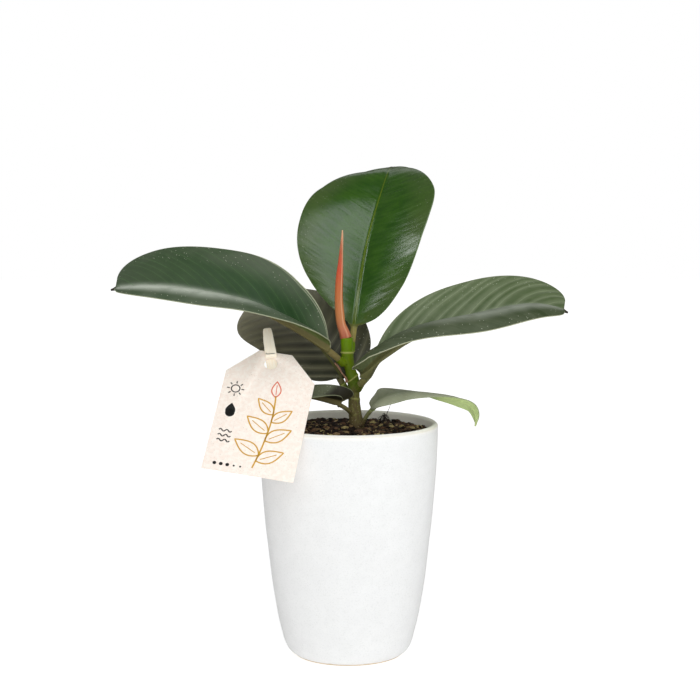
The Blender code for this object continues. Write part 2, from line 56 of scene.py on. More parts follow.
FLOOR_GLOW = (0.76, 1.02)       # near the pot and far away
ROOM_GLOW = 0.16

# Pot, turned about Z: outer wall as (height, radius)
POT_OUTER = ((1.2, 41.5), (4.0, 44.6), (8.0, 46.6), (16.0, 48.8), (24.0, 50.8), (38.0, 53.4), (53.0, 55.8),
             (68.0, 57.6), (83.0, 59.2), (98.0, 60.8), (113.0, 62.2), (128.0, 63.4), (143.0, 64.3),
             (158.0, 64.8), (167.5, 65.0))
POT_HEIGHT = 170.0
POT_FOOT_RADIUS = 40.0
POT_RIM_RADIUS = 65.0
POT_WALL = 4.8
POT_FLOOR = 8.0
POT_HOLLOW_FOOT = 16.0          # where the inner wall starts to round into the floor
POT_SIDES = 180
POT_ROWS = 90
POT_UNEVEN = 0.22               # how far the wall strays from round
POT_UNEVEN_SIZE = 38.0
POT_SHARP = 60.0                # degrees

# Soil
SOIL_EDGE_HEIGHT = 163.0
SOIL_CROWN = 3.6
SOIL_CLUMP = 1.1
SOIL_GRAIN = 0.75
SOIL_SIDES = 180
SOIL_RINGS = 52
SOIL_GAPS = (0.35, 0.1)         # between soil and pot, below and at the top
CRUMBS = 3400
CRUMB_RADIUS = 0.55             # of the smallest
CRUMB_SPREAD = 1.9              # how much more the largest has
CRUMB_SEED = 11
# Pale bits that stand out: place, radius and tint
BITS = (((23.9, 10.3), 2.6, 0.95), ((19.8, -13.2), 2.2, 0.93), ((40.7, 31.4), 2.4, 0.86),
        ((46.5, 7.2), 2.6, 0.97), ((36.0, 18.0), 2.2, 0.99), ((-22.0, -8.0), 2.6, 0.84),
        ((-34.0, 2.0), 2.8, 0.8), ((52.0, 14.0), 2.2, 0.96))
ROOTLETS = 10
ROOTLET_POINTS = 14
ROOTLET_PLACE = (27.0, 43.0, 165.5)
ROOTLET_HAIR = ((28.0, 43.0, 165.5), (29.0, 43.2, 170.0), (30.6, 43.0, 174.0), (32.0, 42.6, 178.0))

# Stem: centre line and radius
STEM = (((7.6, 1.0, 112.0), 3.4), ((7.4, 0.6, 140.0), 4.6), ((6.4, 0.0, 163.0), 5.4),
        ((6.0, 0.0, 168.0), 5.3), ((4.9, 0.0, 175.0), 4.8), ((4.2, 0.0, 182.5), 4.4),
        ((4.0, 0.0, 190.5), 4.1), ((3.7, 0.0, 199.0), 4.5), ((2.5, 0.0, 203.5), 4.6),
        ((1.3, 0.0, 208.0), 3.8), ((-0.4, 0.0, 216.0), 4.2), ((-0.9, 0.0, 220.0), 4.7),
        ((-1.0, 0.0, 222.0), 4.4), ((-1.2, 0.0, 230.0), 4.5), ((-1.2, 0.0, 231.6), 4.5))
STEM_SIDES = 40
STEM_ROWS = 200
BOSS_LENGTH = 7.0
BOSS_TAPER = (1.25, 1.18, 1.05)
BOSS_SIDES = 24
STEM_VOXEL = 0.42
# Rings left by old sheaths: height, slant along X, how far they stand out
STEM_RINGS = ((221.0, 0.0, 0.45), (202.0, 0.75, 0.4), (187.5, -0.15, 0.27), (176.0, 0.3, 0.1))
BOLDEST_RING = max(depth for _, _, depth in STEM_RINGS)
RING_HALF_WIDTH = 0.55
BARK_DEPTH = 0.22
BARK_SIZE = 2.6
BARK_FADE = (185.0, 205.0)      # full below the one height, gone above the other

# Leaves. rib: stalk foot, blade base, then along the midrib to the tip.
# face: which way the upper side looks at the base, middle and tip.
# Each half: width, where it is widest, how blunt its base and tip are, fold up from the rib at base,
# middle and tip in degrees, bend across the half likewise, and how far its edge runs ahead of the rib.
LEAVES = {
    "leaf_top": {
        "rib": ((2.4, 6.6, 228.5), (3.9, 11.0, 239.5), (7.6, 27.5, 264.3), (14.4, 50.0, 300.3),
                (23.9, 74.0, 332.1), (31.0, 98.0, 351.5), (33.5, 112.0, 355.0)),
        "stalk": 2.3,
        "face": ((-0.1, -1, 0.35), (-0.3, -1, 0.4), (-0.25, -0.8, 0.8)),
        "left": (54, 0.5, 0.85, 0.85, (25, 20, 12), (-25, -15, -22), (0.05, 0.05)),
        "right": (47.5, 0.62, 0.45, 0.95, (25, 22, 12), (-20, -15, -25), (0.03, 0)),
    },
    "leaf_left": {
        "rib": ((-6.2, -5.0, 218.9), (-14.0, -10.0, 225.9), (-41.1, -13.0, 243.5), (-70.4, -12.0, 257.0),
                (-97.7, -9.0, 263.2), (-142.6, -4.0, 268.6), (-171.6, 2.0, 266.5)),
        "stalk": 2.4,
        "face": ((0.1, -0.1, 1), (0, -0.55, 1), (0, -0.35, 1)),
        "left": (32, 0.45, 0.7, 0.45, (50, 62, 45), (-30, -85, -70), (0, 0)),
        "right": (42, 0.58, 0.6, 0.29, (50, 24, 20), (20, -5, -10), (0.25, 0.2)),
    },
    "leaf_right": {
        "rib": ((7.9, -5.0, 200.8), (11.8, -10.0, 206.4), (23.3, -14.0, 220.1), (36.9, -14.0, 230.6),
                (87.1, -9.0, 247.4), (141.7, -2.0, 254.8), (158.6, 0.0, 250.3)),
        "stalk": 2.7,
        "face": ((0, -0.1, 1), (0, -0.55, 1), (0, -0.35, 1)),
        "left": (33, 0.62, 1.35, 0.23, (40, 20, 15), (20, -5, -10), (0.3, 0.2)),
        "right": (36, 0.5, 0.36, 0.36, (91, 64, 45), (-103, -95, -70), (-0.15, 0)),
    },
    "leaf_back": {
        "rib": ((-3.3, 4.0, 198.8), (-5.5, 6.3, 202.5), (-19.4, 15.0, 221.1), (-34.3, 25.0, 237.1),
                (-52.3, 37.0, 249.4), (-72.1, 50.0, 256.8)),
        "stalk": 2.4,
        "face": ((0.2, -0.4, 1), (0.2, -0.5, 0.85), (-0.1, -0.7, 1)),
        "left": (43, 0.6, 0.46, 0.3, (10, 5, 10), (-20, -20, -30), (-0.2, 0)),
        "right": (43, 0.4, 0.35, 0.5, (45, 22, 8), (-20, -20, -40), (0, 0)),
    },
    "leaf_low_left": {
        "rib": ((0.6, -6.5, 180.6), (-6.0, -13.5, 186.0), (-19.0, -17.0, 190.6), (-41.7, -18.0, 193.4),
                (-61.6, -18.5, 191.6)),
        "stalk": 1.6,
        "face": ((0, 0.1, 1), (0, -0.1, 1), (0, 0, 1)),
        "left": (15, 0.5, 0.5, 0.5, (40, 30, 10), (0, -60, -20), (0, 0)),
        "right": (12.5, 0.3, 0.2, 0.5, (85, 22, 8), (20, 0, -20), (-1.1, 0.2)),
    },
    "leaf_low_right": {
        "rib": ((11.3, -6.0, 174.6), (16.2, -10.0, 182.0), (22.6, -15.0, 189.1), (38.3, -18.0, 194.2),
                (59.5, -22.0, 194.2), (77.6, -23.0, 190.0), (89.0, -24.0, 184.0), (90.8, -24.0, 170.5)),
        "stalk": 1.5,
        "face": ((0, 0.1, 1), (0, 0.1, 1), (0.9, 0.4, 0.1)),
        "left": (15.5, 0.2, 0.35, 0.5, (60, -4, 10), (0, -20, 0), (-0.4, 0.3)),
        "right": (12, 0.35, 0.4, 0.7, (-25, 12, 10), (-60, -50, 0), (0.2, 0)),
    },
}
LEAF_ROWS = 130
LEAF_COLUMNS = 28               # across one half
SMALL_ROWS = 90
SMALL_COLUMNS = 16
STALK_ROWS = 12
STALK_SINK = 0.7                # the stalk's foot reaches into its stub
BLADE_THICK = 1.0
EDGE_THICK = 0.6
TIP_LENGTH = 0.022
TIP_WIDTH = 0.07
PALE_SPAN = (0.15, 0.4)         # the pale margin changes width between these shares of the blade
SHEEN_AND_BLOOM_SPAN = (0.15, 0.6)        # the band of painted sheen and bloom comes up between these

# How each leaf is veined and coloured, where it differs from LEAF_COMMON. Pairs are for its left and right
# half, lengths are in millimetres, and colours are linear red, green and blue.
# spacing, slant, bend: of the side veins. relief: the swell between them. ridge: of the midrib.
# streaks, grain: depth of the fine relief. pale: width of the pale margin at base and tip.
# line: how clear the veins are. painted_vein_shade: painted shade in bands along the side veins, how much
# the
# colour follows them. painted_shade: painted shade, how bright the half is.
# fade, rim: tint towards tip and edge. specks: how clear they are. spine: the midrib seen from below.
# sheen_and_bloom: a dull pale band along the midrib, mostly painted sheen and partly waxy bloom, as the half
# it lies on, 0 for the left, its share of that half, its width on the other half, and its strength.
# painted_shade_heel: painted shade at the base; between these distances from the base, the underside's
# colour gives way to the upper side's.
LEAF_COMMON = {
    "spacing": 6.0, "slant": (0.5, 0.5), "bend": (0.2, 0.2), "ridge": 0.2, "streaks": 0.15, "grain": 0.02,
    "pale": ((0.25, 0.2), (0.25, 0.2)), "line": (0.2, 0.2), "painted_vein_shade": (0.2, 0.2), "painted_shade": (1.0, 1.0),
    "fade": 0.0, "rim": 0.6, "specks": 1.0, "spine": 0.8, "sheen_and_bloom": (0, 0.5, 1.0, 0.0), "painted_shade_heel": (-1.0, 0.0),
    "roughness": 0.5, "shine": 0.4, "tip": (0.022, 0.014, 0.008),
}
LEAF_LOOKS = {
    "leaf_top": {
        "slot": "leaf_bright", "spacing": 7.0, "slant": (0.3, 0.05), "bend": (0.15, 0.3),
        "relief": (0.03, 0.06), "ridge": 1.0, "streaks": 0.13, "grain": 0.04,
        "pale": ((0.15, 0.15), (0.15, 0.3)), "line": (0.06, 0.06), "painted_vein_shade": (0.0, 0.0), "specks": 0.45,
        "roughness": 0.15, "shine": 0.55,
        "deep": (0.012, 0.056, 0.0005), "light": (0.03, 0.092, 0.002), "tint": (0.07, 0.1, 0.03),
        "under": (0.13, 0.19, 0.06), "rib": (0.085, 0.13, 0.004), "margin": (0.14, 0.2, 0.08),
        "stalk": (0.22, 0.19, 0.055),
    },
    "leaf_left": {
        "slot": "leaf_dark", "spacing": 9.0, "slant": (0.9, 0.8), "bend": (0.3, 0.5), "relief": (0.0, 0.05),
        "streaks": 0.06, "pale": ((0.4, 0.4), (2.8, 0.2)), "line": (0.1, 0.5), "painted_vein_shade": (0.0, 0.3),
        "fade": 0.5, "rim": 0.62, "sheen_and_bloom": (0, 0.86, 3.0, 0.95), "roughness": 0.32, "shine": 0.22,
        # Its grey tint towards edge and tip is partly its own bronze tone and partly painted sheen.
        "deep": (0.007, 0.042, 0.005), "light": (0.024, 0.066, 0.014), "tint": (0.12, 0.135, 0.095),
        "under": (0.1, 0.13, 0.035), "rib": (0.13, 0.16, 0.1), "margin": (0.34, 0.36, 0.24),
        "stalk": (0.15, 0.12, 0.045),
    },
    "leaf_right": {
        "slot": "leaf_grey", "spacing": 12.0, "slant": (0.9, 0.8), "bend": (0.55, 0.4),
        "relief": (0.4, 0.04), "streaks": 0.1, "pale": ((0.3, 0.2), (0.5, 0.4)), "line": (0.3, 0.05),
        # Its right half is darkened as painted shade.
        "painted_vein_shade": (0.55, 0.05), "painted_shade": (1.0, 0.52), "rim": 0.2, "sheen_and_bloom": (1, 0.78, 2.0, 0.42),
        "roughness": 0.42, "shine": 0.3,
        "deep": (0.06, 0.095, 0.03), "light": (0.17, 0.205, 0.115), "tint": (0.17, 0.21, 0.11),
        "under": (0.15, 0.18, 0.075), "rib": (0.26, 0.29, 0.19), "margin": (0.38, 0.39, 0.26),
        "stalk": (0.15, 0.14, 0.05),
    },
    "leaf_back": {
        "slot": "leaf_dark", "spacing": 8.8, "slant": (0.35, 0.35), "relief": (0.5, 0.4), "ridge": 0.5,
        "pale": ((0.2, 0.2), (0.2, 0.2)), "line": (0.5, 0.4), "painted_vein_shade": (0.75, 0.5), "fade": 0.75,
        "rim": 0.05, "roughness": 0.46,
        "deep": (0.008, 0.011, 0.005), "light": (0.1, 0.097, 0.057), "tint": (0.5, 0.46, 0.32),
        "under": (0.08, 0.09, 0.04), "rib": (0.09, 0.09, 0.02), "margin": (0.1, 0.1, 0.06),
        "stalk": (0.1, 0.09, 0.03),
    },
    "leaf_low_left": {
        # Its near-black underside colour, also laid over the base of the upper side, is painted shade of the
        # curl.
        "slot": "leaf_grey", "relief": (0.08, 0.08), "painted_shade_heel": (11.0, 17.0),
        "deep": (0.07, 0.083, 0.042), "light": (0.11, 0.122, 0.07), "tint": (0.15, 0.165, 0.1),
        "under": (0.02, 0.017, 0.007), "rib": (0.1, 0.11, 0.03), "margin": (0.2, 0.22, 0.13),
        "stalk": (0.13, 0.11, 0.04),
    },
    "leaf_low_right": {
        "slot": "leaf_grey", "relief": (0.06, 0.06), "ridge": 0.3, "fade": 0.9, "spine": 0.1,
        "sheen_and_bloom": (0, 0.6, 3.0, 0.5), "tip": (0.4, 0.47, 0.2),
        "deep": (0.045, 0.062, 0.025), "light": (0.165, 0.185, 0.11), "tint": (0.54, 0.56, 0.39),
        "under": (0.5, 0.62, 0.25), "rib": (0.22, 0.25, 0.14), "margin": (0.3, 0.34, 0.2),
        "stalk": (0.15, 0.15, 0.06),
    },
}
SPECK_COLOUR = (0.62, 0.64, 0.5)
# Pale grey-green of the band along the midrib: mostly painted sheen, partly waxy bloom.
SHEEN_AND_BLOOM_COLOUR = (0.54, 0.575, 0.48)

# Bud sheath on top of the stem, and the dry strip left by an older one
SHEATH = (((-2.0, -0.3, 231.9), 4.2), ((-3.0, -0.9, 235.5), 3.7), ((-5.0, -1.5, 240.5), 3.3),
          ((-6.4, -1.9, 250.0), 3.2), ((-7.0, -2.0, 259.0), 2.9), ((-6.9, -2.0, 267.5), 2.75),
          ((-6.5, -1.8, 276.0), 2.5), ((-5.8, -1.5, 285.0), 1.85), ((-5.2, -1.0, 294.0), 1.3),
          ((-4.6, -0.4, 303.0), 0.85), ((-4.3, 0.0, 309.4), 0.35))
SHEATH_SIDES = 44
SHEATH_ROWS = 110
SHEATH_FLATTEN = 0.85
SHEATH_SEAM = (-62.0, 25.0)     # angle of the seam at the foot, and its turn up to the tip
SHEATH_OVERLAP = 0.07           # step at the seam, as a share of the radius
SEAM_HALF_WIDTH = 0.35
STRIP = ((-1.3, -3.3, 199.5), (-2.4, -4.6, 203.0), (-5.2, -5.4, 207.0), (-7.4, -4.6, 210.5),
         (-10.0, -3.0, 213.8))
STRIP_WIDTH = 2.6
STRIP_THICK = 0.7
STRIP_TWIST = 150.0
STRIP_CURL = 0.35
STRIP_SIDES = 18
STRIP_ROWS = 60

# Card tag: local X right, Z up the card, Y through it; the origin is near its hole
TAG_PLACE = (-53.3, -18.8, 215.9)
TAG_ROLL, TAG_LEAN, TAG_YAW = 11.0, -40.0, 2.2
TAG_OUTLINE = ((-12.0, 8.0), (12.0, 8.0), (32.0, -13.0), (32.0, -94.0), (-32.0, -94.0), (-32.0, -13.0))
TAG_THICK = 0.8
TAG_HOLE = (-1.5, -1.8)
TAG_HOLE_RADIUS = 4.7
TAG_HOLE_SIDES = 64
TAG_BEVEL = 0.13

# Print on the card, with places as (x, z). Each leaf of the sprig: its share of the way up, its angle
# from +X in degrees and its length
INK_HEIGHT = 0.05
INK_DEPTHS = (-TAG_THICK / 2 + INK_HEIGHT, -TAG_THICK / 2 - INK_HEIGHT)
OCHRE = (0.62, 0.34, 0.03)
CORAL = (0.72, 0.18, 0.11)
BLACK = (0.012, 0.012, 0.012)
SPRIG = ((2.0, -88.0), (6.0, -68.0), (8.0, -48.0), (7.0, -28.0))
SPRIG_POINTS = 40
SPRIG_LEAVES = ((0.12, 28, 20), (0.2, 152, 21), (0.4, 34, 20), (0.5, 146, 20), (0.66, 42, 17),
                (0.76, 138, 17))
DRAWN_LEAF_POINTS = 26          # along one side
CIRCLE_POINTS = 28
SUN = (-22.0, -27.0)
DROP = (-22.0, -50.0)
WAVE_START = -26.5
WAVE_HEIGHTS = (-62.0, -66.0, -70.0)
DOTS = ((-24.0, 1.3), (-19.5, 1.3), (-15.0, 1.3), (-10.5, 0.7), (-6.0, 0.7))    # place along X and radius
DOT_HEIGHT = -88.5

# Clothes peg: local Z from the jaws up to the handles with the origin on its pivot, Y from front to back
PEG_TURN = -18.5
PEG_FOOT = (-2.3, 2.8)
PEG_LENGTH = 24.0
PEG_WIDE = ((-10.0, 7.6), (2.0, 8.2), (20.5, 6.6), (22.8, 5.6), (24.0, 3.8))    # width along a leg
PEG_LEG = 3.0
PEG_FRONT_FACE = -0.7
PEG_BACK_FACE = 0.7
PEG_PIVOT = 11.0
PEG_SPREAD = 9.0
PEG_BACK_DROP = 9.5
PEG_GROOVE = 2.43
PEG_EASE = 0.45                 # of the legs' corners
COIL_RADIUS = 1.75
COIL_REACH = 3.5                # half the coil's length
COIL_TURNS = 8.5
COIL_POINTS = 300
WIRE_RADIUS = 0.3
WIRE_SIDES = 10
ARM_POINTS = 50


# Curves and solids

def unit(v):
    """Vectors at length 1."""
    return v / np.linalg.norm(v, axis=-1, keepdims=True)


def smooth_path(points, t):
    """Points on a smooth curve through the given ones, t from 0 to 1 by length."""
    p = np.asarray(points, float)
    knots = np.concatenate([[0], np.cumsum(np.linalg.norm(np.diff(p, axis=0), axis=1))])
    knots /= knots[-1]
    slope = np.gradient(p, knots, axis=0, edge_order=2 if len(p) > 2 else 1)
    t = np.clip(np.asarray(t, float), 0, 1)
    i = np.clip(np.searchsorted(knots, t, side="right") - 1, 0, len(p) - 2)
    h = (knots[i + 1] - knots[i])[..., None]
    s = (t - knots[i])[..., None] / h
    return ((2 * s**3 - 3 * s**2 + 1) * p[i] + (s**3 - 2 * s**2 + s) * h * slope[i]
            + (-2 * s**3 + 3 * s**2) * p[i + 1] + (s**3 - s**2) * h * slope[i + 1])


def through_three(values, t):
    """A smooth change through values at t 0, 0.5 and 1."""
    a, b, c = (np.asarray(v, float) for v in values)
    t = t[:, None] if a.ndim else t
    return a * (1 - 2 * t) * (1 - t) + b * 4 * t * (1 - t) + c * t * (2 * t - 1)


def smooth_step(value, low, high):
    """0 below low, 1 above high, and smooth between."""
    share = np.clip((value - low) / (high - low), 0, 1)
    return share * share * (3 - 2 * share)


def lookup(pairs, at):
    """The value at a place, between (place, value) pairs."""
    places, values = zip(*pairs)
    return float(np.interp(at, places, values))


def circle_angles(count):
    """Evenly spaced angles round a circle."""
    return np.arange(count) * 2 * math.pi / count


def join_rings(rings):
    """Points and faces of a closed tube through rings of equal count, with flat ends."""
    count = len(rings[0])
    points = np.concatenate(rings)
    faces = [tuple(range(count))[::-1], tuple(range(len(points) - count, len(points)))]
    for i in range(len(rings) - 1):
        a, b = i * count, (i + 1) * count
        for j in range(count):
            k = (j + 1) % count
            faces.append((a + j, a + k, b + k, b + j))
    return points, faces


def tube_rings(centres, radii, sides, flatten=1.0, first=None):
    """Round rings square to a path. They start towards +X, or follow one another from a first direction."""
    centres = np.asarray(centres, float)
    ahead = unit(np.gradient(centres, axis=0))
    angles = circle_angles(sides)[:, None]
    start = np.array([1.0, 0.0, 0.0]) if first is None else first
    rings = []
    for centre, radius, forward in zip(centres, radii, ahead):
        across = unit(start - forward * (start @ forward))
        up = np.cross(forward, across)
        rings.append(centre + radius * (np.cos(angles) * across + flatten * np.sin(angles) * up))
        if first is not None:
            start = across
    return rings


def turned(profile, sides):
    """Points and faces of a solid turned about Z from an open profile whose ends lie on the axis."""
    angles = circle_angles(sides)
    points = [(0.0, 0.0, profile[0][1])]
    for radius, height in profile[1:-1]:
        points.extend((radius * math.cos(a), radius * math.sin(a), height) for a in angles)
    points.append((0.0, 0.0, profile[-1][1]))
    rows = len(profile) - 2
    last = len(points) - 1
    faces = []
    for j in range(sides):
        k = (j + 1) % sides
        faces.append((0, 1 + k, 1 + j))
        faces.append((last, 1 + (rows - 1) * sides + j, 1 + (rows - 1) * sides + k))
        for i in range(rows - 1):
            a, b = 1 + i * sides, 1 + (i + 1) * sides
            faces.append((a + j, a + k, b + k, b + j))
    return points, faces


def gather(parts):
    """Several (points, faces) as one."""
    points, faces, first = [], [], 0
    for part_points, part_faces in parts:
        points.append(np.asarray(part_points, float))
        faces += [tuple(first + i for i in face) for face in part_faces]
        first += len(part_points)
    return np.concatenate(points), faces


def slab(outline, near, far):
    """Points and faces of a flat solid between two depths, from its outline as (x, z) points."""
    return join_rings([np.array([(x, y, z) for x, z in outline]) for y in (near, far)])


def show(thing):
    """Puts an object in the scene."""
    bpy.context.scene.collection.objects.link(thing)
    return thing


def give_values(mesh, values):
    """Sets named values at a mesh's points."""
    for key, numbers in values.items():
        layer = mesh.attributes.new(key, "FLOAT", "POINT")
        layer.data.foreach_set("value", np.asarray(numbers, np.float32).ravel())


def add_piece(name, points, faces, look, smooth=True, place=None, values=None):
    """A mesh object from millimetre points, set at a place, with any named values at its points."""
    mesh = bpy.data.meshes.new(name)
    mesh.from_pydata([tuple(p) for p in np.asarray(points, float) * MM], [], faces)
    for face in mesh.polygons:
        face.use_smooth = smooth
    give_values(mesh, values or {})
    mesh.materials.append(look)
    piece = show(bpy.data.objects.new(name, mesh))
    if place is not None:
        metres = place.copy()
        metres.translation = place.translation * MM
        piece.matrix_world = metres
    return piece


def settle(piece, name, kind, **settings):
    """Applies one modifier to a piece."""
    change = piece.modifiers.new(name, kind)
    for key, value in settings.items():
        setattr(change, key, value)
    depsgraph = bpy.context.evaluated_depsgraph_get()
    mesh = bpy.data.meshes.new_from_object(piece.evaluated_get(depsgraph))
    piece.modifiers.clear()
    piece.data = mesh


def join_body(piece, body=PLANT, stands_for=()):
    """Sets a piece on its body and the solids that it stands for."""
    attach(piece, body)
    if stands_for:
        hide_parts(*stands_for)


# Materials

class Look:
    """A material's nodes, with a short call for each kind."""

    def __init__(self, name, shine=0.5, metal=0.0):
        self.material = bpy.data.materials.new(name)
        self.material.use_nodes = True
        self.tree = self.material.node_tree
        self.shader = self.tree.nodes["Principled BSDF"]
        self.put(self.shader.inputs["Specular IOR Level"], shine)
        self.put(self.shader.inputs["Metallic"], metal)

    def put(self, socket, value):
        """Links a socket, or sets its constant."""
        if isinstance(value, bpy.types.NodeSocket):
            self.tree.links.new(value, socket)
        elif isinstance(value, tuple) and socket.type == "RGBA":
            socket.default_value = (*value, 1.0)
        else:
            socket.default_value = value

    def node(self, kind, inputs, **settings):
        """A node with its settings and inputs."""
        made = self.tree.nodes.new(kind)
        for key, value in settings.items():
            setattr(made, key, value)
        for key, value in inputs.items():
            self.put(made.inputs[key], value)
        return made

    def value(self, name):
        """A named value of the mesh."""
        return self.node("ShaderNodeAttribute", {}, attribute_name=name).outputs["Fac"]

    def place(self):
        """The piece's own coordinates."""
        return self.node("ShaderNodeTexCoord", {}).outputs["Object"]

    def height(self):
        """Height above the piece's origin, in metres."""
        return self.node("ShaderNodeSeparateXYZ", {0: self.place()}).outputs["Z"]

    def distance(self, weights):
        """Distance from the piece's origin in metres, with its axes weighted."""
        kind = "ShaderNodeVectorMath"
        weighted = self.node(kind, {0: self.place(), 1: weights}, operation="MULTIPLY").outputs[0]
        return self.node(kind, {0: weighted}, operation="LENGTH").outputs["Value"]

    def math(self, operation, *values):
        """One step of arithmetic."""
        return self.node("ShaderNodeMath", dict(enumerate(values)), operation=operation).outputs[0]

    def times(self, *values):
        """Product of values."""
        result = values[0]
        for value in values[1:]:
            result = self.math("MULTIPLY", result, value)
        return result

    def plus(self, base, value, factor):
        """A base with a scaled value added."""
        return self.math("MULTIPLY_ADD", value, factor, base)

    def stray(self, base, noise_value, depth):
        """A base moved both ways by noise."""
        return self.plus(base, self.math("SUBTRACT", noise_value, 0.5), depth)

    def step(self, value, low, high, at_low=0.0, at_high=1.0):
        """A smooth change from at_low to at_high; low may be the larger one."""
        return self.node("ShaderNodeMapRange", {0: value, 1: low, 2: high, 3: at_low, 4: at_high},
                         interpolation_type="SMOOTHSTEP").outputs[0]

    def mix(self, share, a, b):
        """Two colours mixed."""
        return self.node("ShaderNodeMix", {0: share, 6: a, 7: b}, data_type="RGBA").outputs[2]

    def over(self, base, colour, *shares):
        """A colour laid over a base, as strongly as the product of the shares."""
        return self.mix(self.times(*shares), base, colour)

    def ramp(self, value, stops):
        """A colour from a value."""
        made = self.node("ShaderNodeValToRGB", {0: value})
        points = made.color_ramp.elements
        while len(points) < len(stops):
            points.new(0.5)
        for point, (place, colour) in zip(points, stops):
            point.position = place
            point.color = (*colour, 1.0)
        return made.outputs[0]

    def noise(self, size, detail=2.0, rough=0.5, stretch=(1, 1, 1)):
        """Noise whose features are about size millimetres, longer along an axis with a small stretch."""
        spot = self.node("ShaderNodeMapping", {0: self.place(), 3: stretch}).outputs[0]
        inputs = {"Vector": spot, "Scale": 1 / (size * MM), "Detail": detail, "Roughness": rough}
        return self.node("ShaderNodeTexNoise", inputs).outputs[0]

    def streaks(self, x, y, z, scale):
        """Noise over three values."""
        spot = self.node("ShaderNodeCombineXYZ", {0: x, 1: y, 2: z}).outputs[0]
        return self.node("ShaderNodeTexNoise", {"Vector": spot, "Scale": scale, "Detail": 3.0}).outputs[0]

    def cells(self, size):
        """Distance from the middles of cells about size millimetres wide, in cells."""
        inputs = {"Vector": self.place(), "Scale": 1 / (size * MM)}
        return self.node("ShaderNodeTexVoronoi", inputs).outputs[0]

    def spots(self, x, y, size):
        """Distance from scattered middles on a surface whose own coordinates in millimetres are x and y."""
        spot = self.node("ShaderNodeCombineXYZ", {0: x, 1: y}).outputs[0]
        return self.node("ShaderNodeTexVoronoi", {"Vector": spot, "Scale": 1 / size},
                         voronoi_dimensions="2D").outputs[0]

    def finish(self, colour, roughness, *relief):
        """The material with its colour, its roughness and its relief as (height, depth in millimetres)."""
        bump = {}
        for height, depth in relief:
            inputs = {"Height": height, "Distance": depth * MM, "Strength": 1.0, **bump}
            bump = {"Normal": self.node("ShaderNodeBump", inputs).outputs[0]}
        for key, value in {"Base Color": colour, "Roughness": roughness, **bump}.items():
            self.put(self.shader.inputs[key], value)
        return self.material


def scaled(colour, factor, lift=0.0):
    """A colour made brighter or darker by a factor, and paler by a lift."""
    return tuple(factor * c + lift for c in colour)


def leaf_upper(look, row, wave, streak, line):
    """A leaf's upper side: green by its side veins, painted shade in bands and on a half, tinted edge and
    tip, a band of painted sheen and waxy bloom, veins and specks.
    """
    across, edge, along, ahead, sheen_and_bloom, painted_shade, painted_vein_shade = map(
        look.value, ("across", "edge", "along", "ahead", "sheen_and_bloom", "painted_shade", "painted_vein_shade"))
    patches = look.step(look.noise(16, 3), 0.35, 0.7)
    share = look.plus(look.times(patches, 0.5), look.step(streak, 0.3, 0.7), 0.5)
    # Painted shade in bands along the side veins: lighter by the veins, darker between them.
    share = look.plus(share, painted_vein_shade, look.math("SUBTRACT", look.step(wave, 0.05, 0.45), share))
    colour = look.mix(share, row["deep"], row["light"])
    rim = look.times(look.step(edge, 28.0, 3.0), look.step(look.noise(30, 2), 0.25, 0.65, 0.5, 1.0),
                     row["rim"])
    tipward = look.math("DIVIDE", along, look.math("ADD", along, ahead))
    tipward = look.times(tipward, tipward, row["fade"])
    colour = look.mix(look.math("MAXIMUM", rim, tipward), colour, row["tint"])
    # Painted shade: a whole half's colour dimmed, darker for leaf_right's right half.
    colour = look.node("ShaderNodeVectorMath", {0: colour, "Scale": painted_shade}, operation="SCALE").outputs[0]
    # Painted sheen, partly waxy bloom: a pale band along the midrib.
    colour = look.over(colour, SHEEN_AND_BLOOM_COLOUR, sheen_and_bloom, look.step(look.noise(12, 2), 0.2, 0.6, 0.6, 1.0))
    colour = look.mix(line, colour, scaled(row["light"], 2.2, 0.03))
    return look.over(colour, SPECK_COLOUR, look.step(look.spots(along, across, 4.2), 0.06, 0.035),
                     look.step(edge, 18.0, 8.0), look.step(look.noise(9, 1), 0.46, 0.52), row["specks"])


def leaf_under(look, row, wave, fine, rib):
    """A leaf's underside: mottled, with pale side veins and the spine of its stalk."""
    colour = look.over(row["under"], scaled(row["under"], 0.6), fine, 0.5)
    colour = look.over(colour, scaled(row["under"], 1.5, 0.01), look.step(wave, 0.42, 0.5), 0.3)
    return look.mix(look.step(rib, 1.6, 2.4, row["spine"], 0.0), colour, row["stalk"])


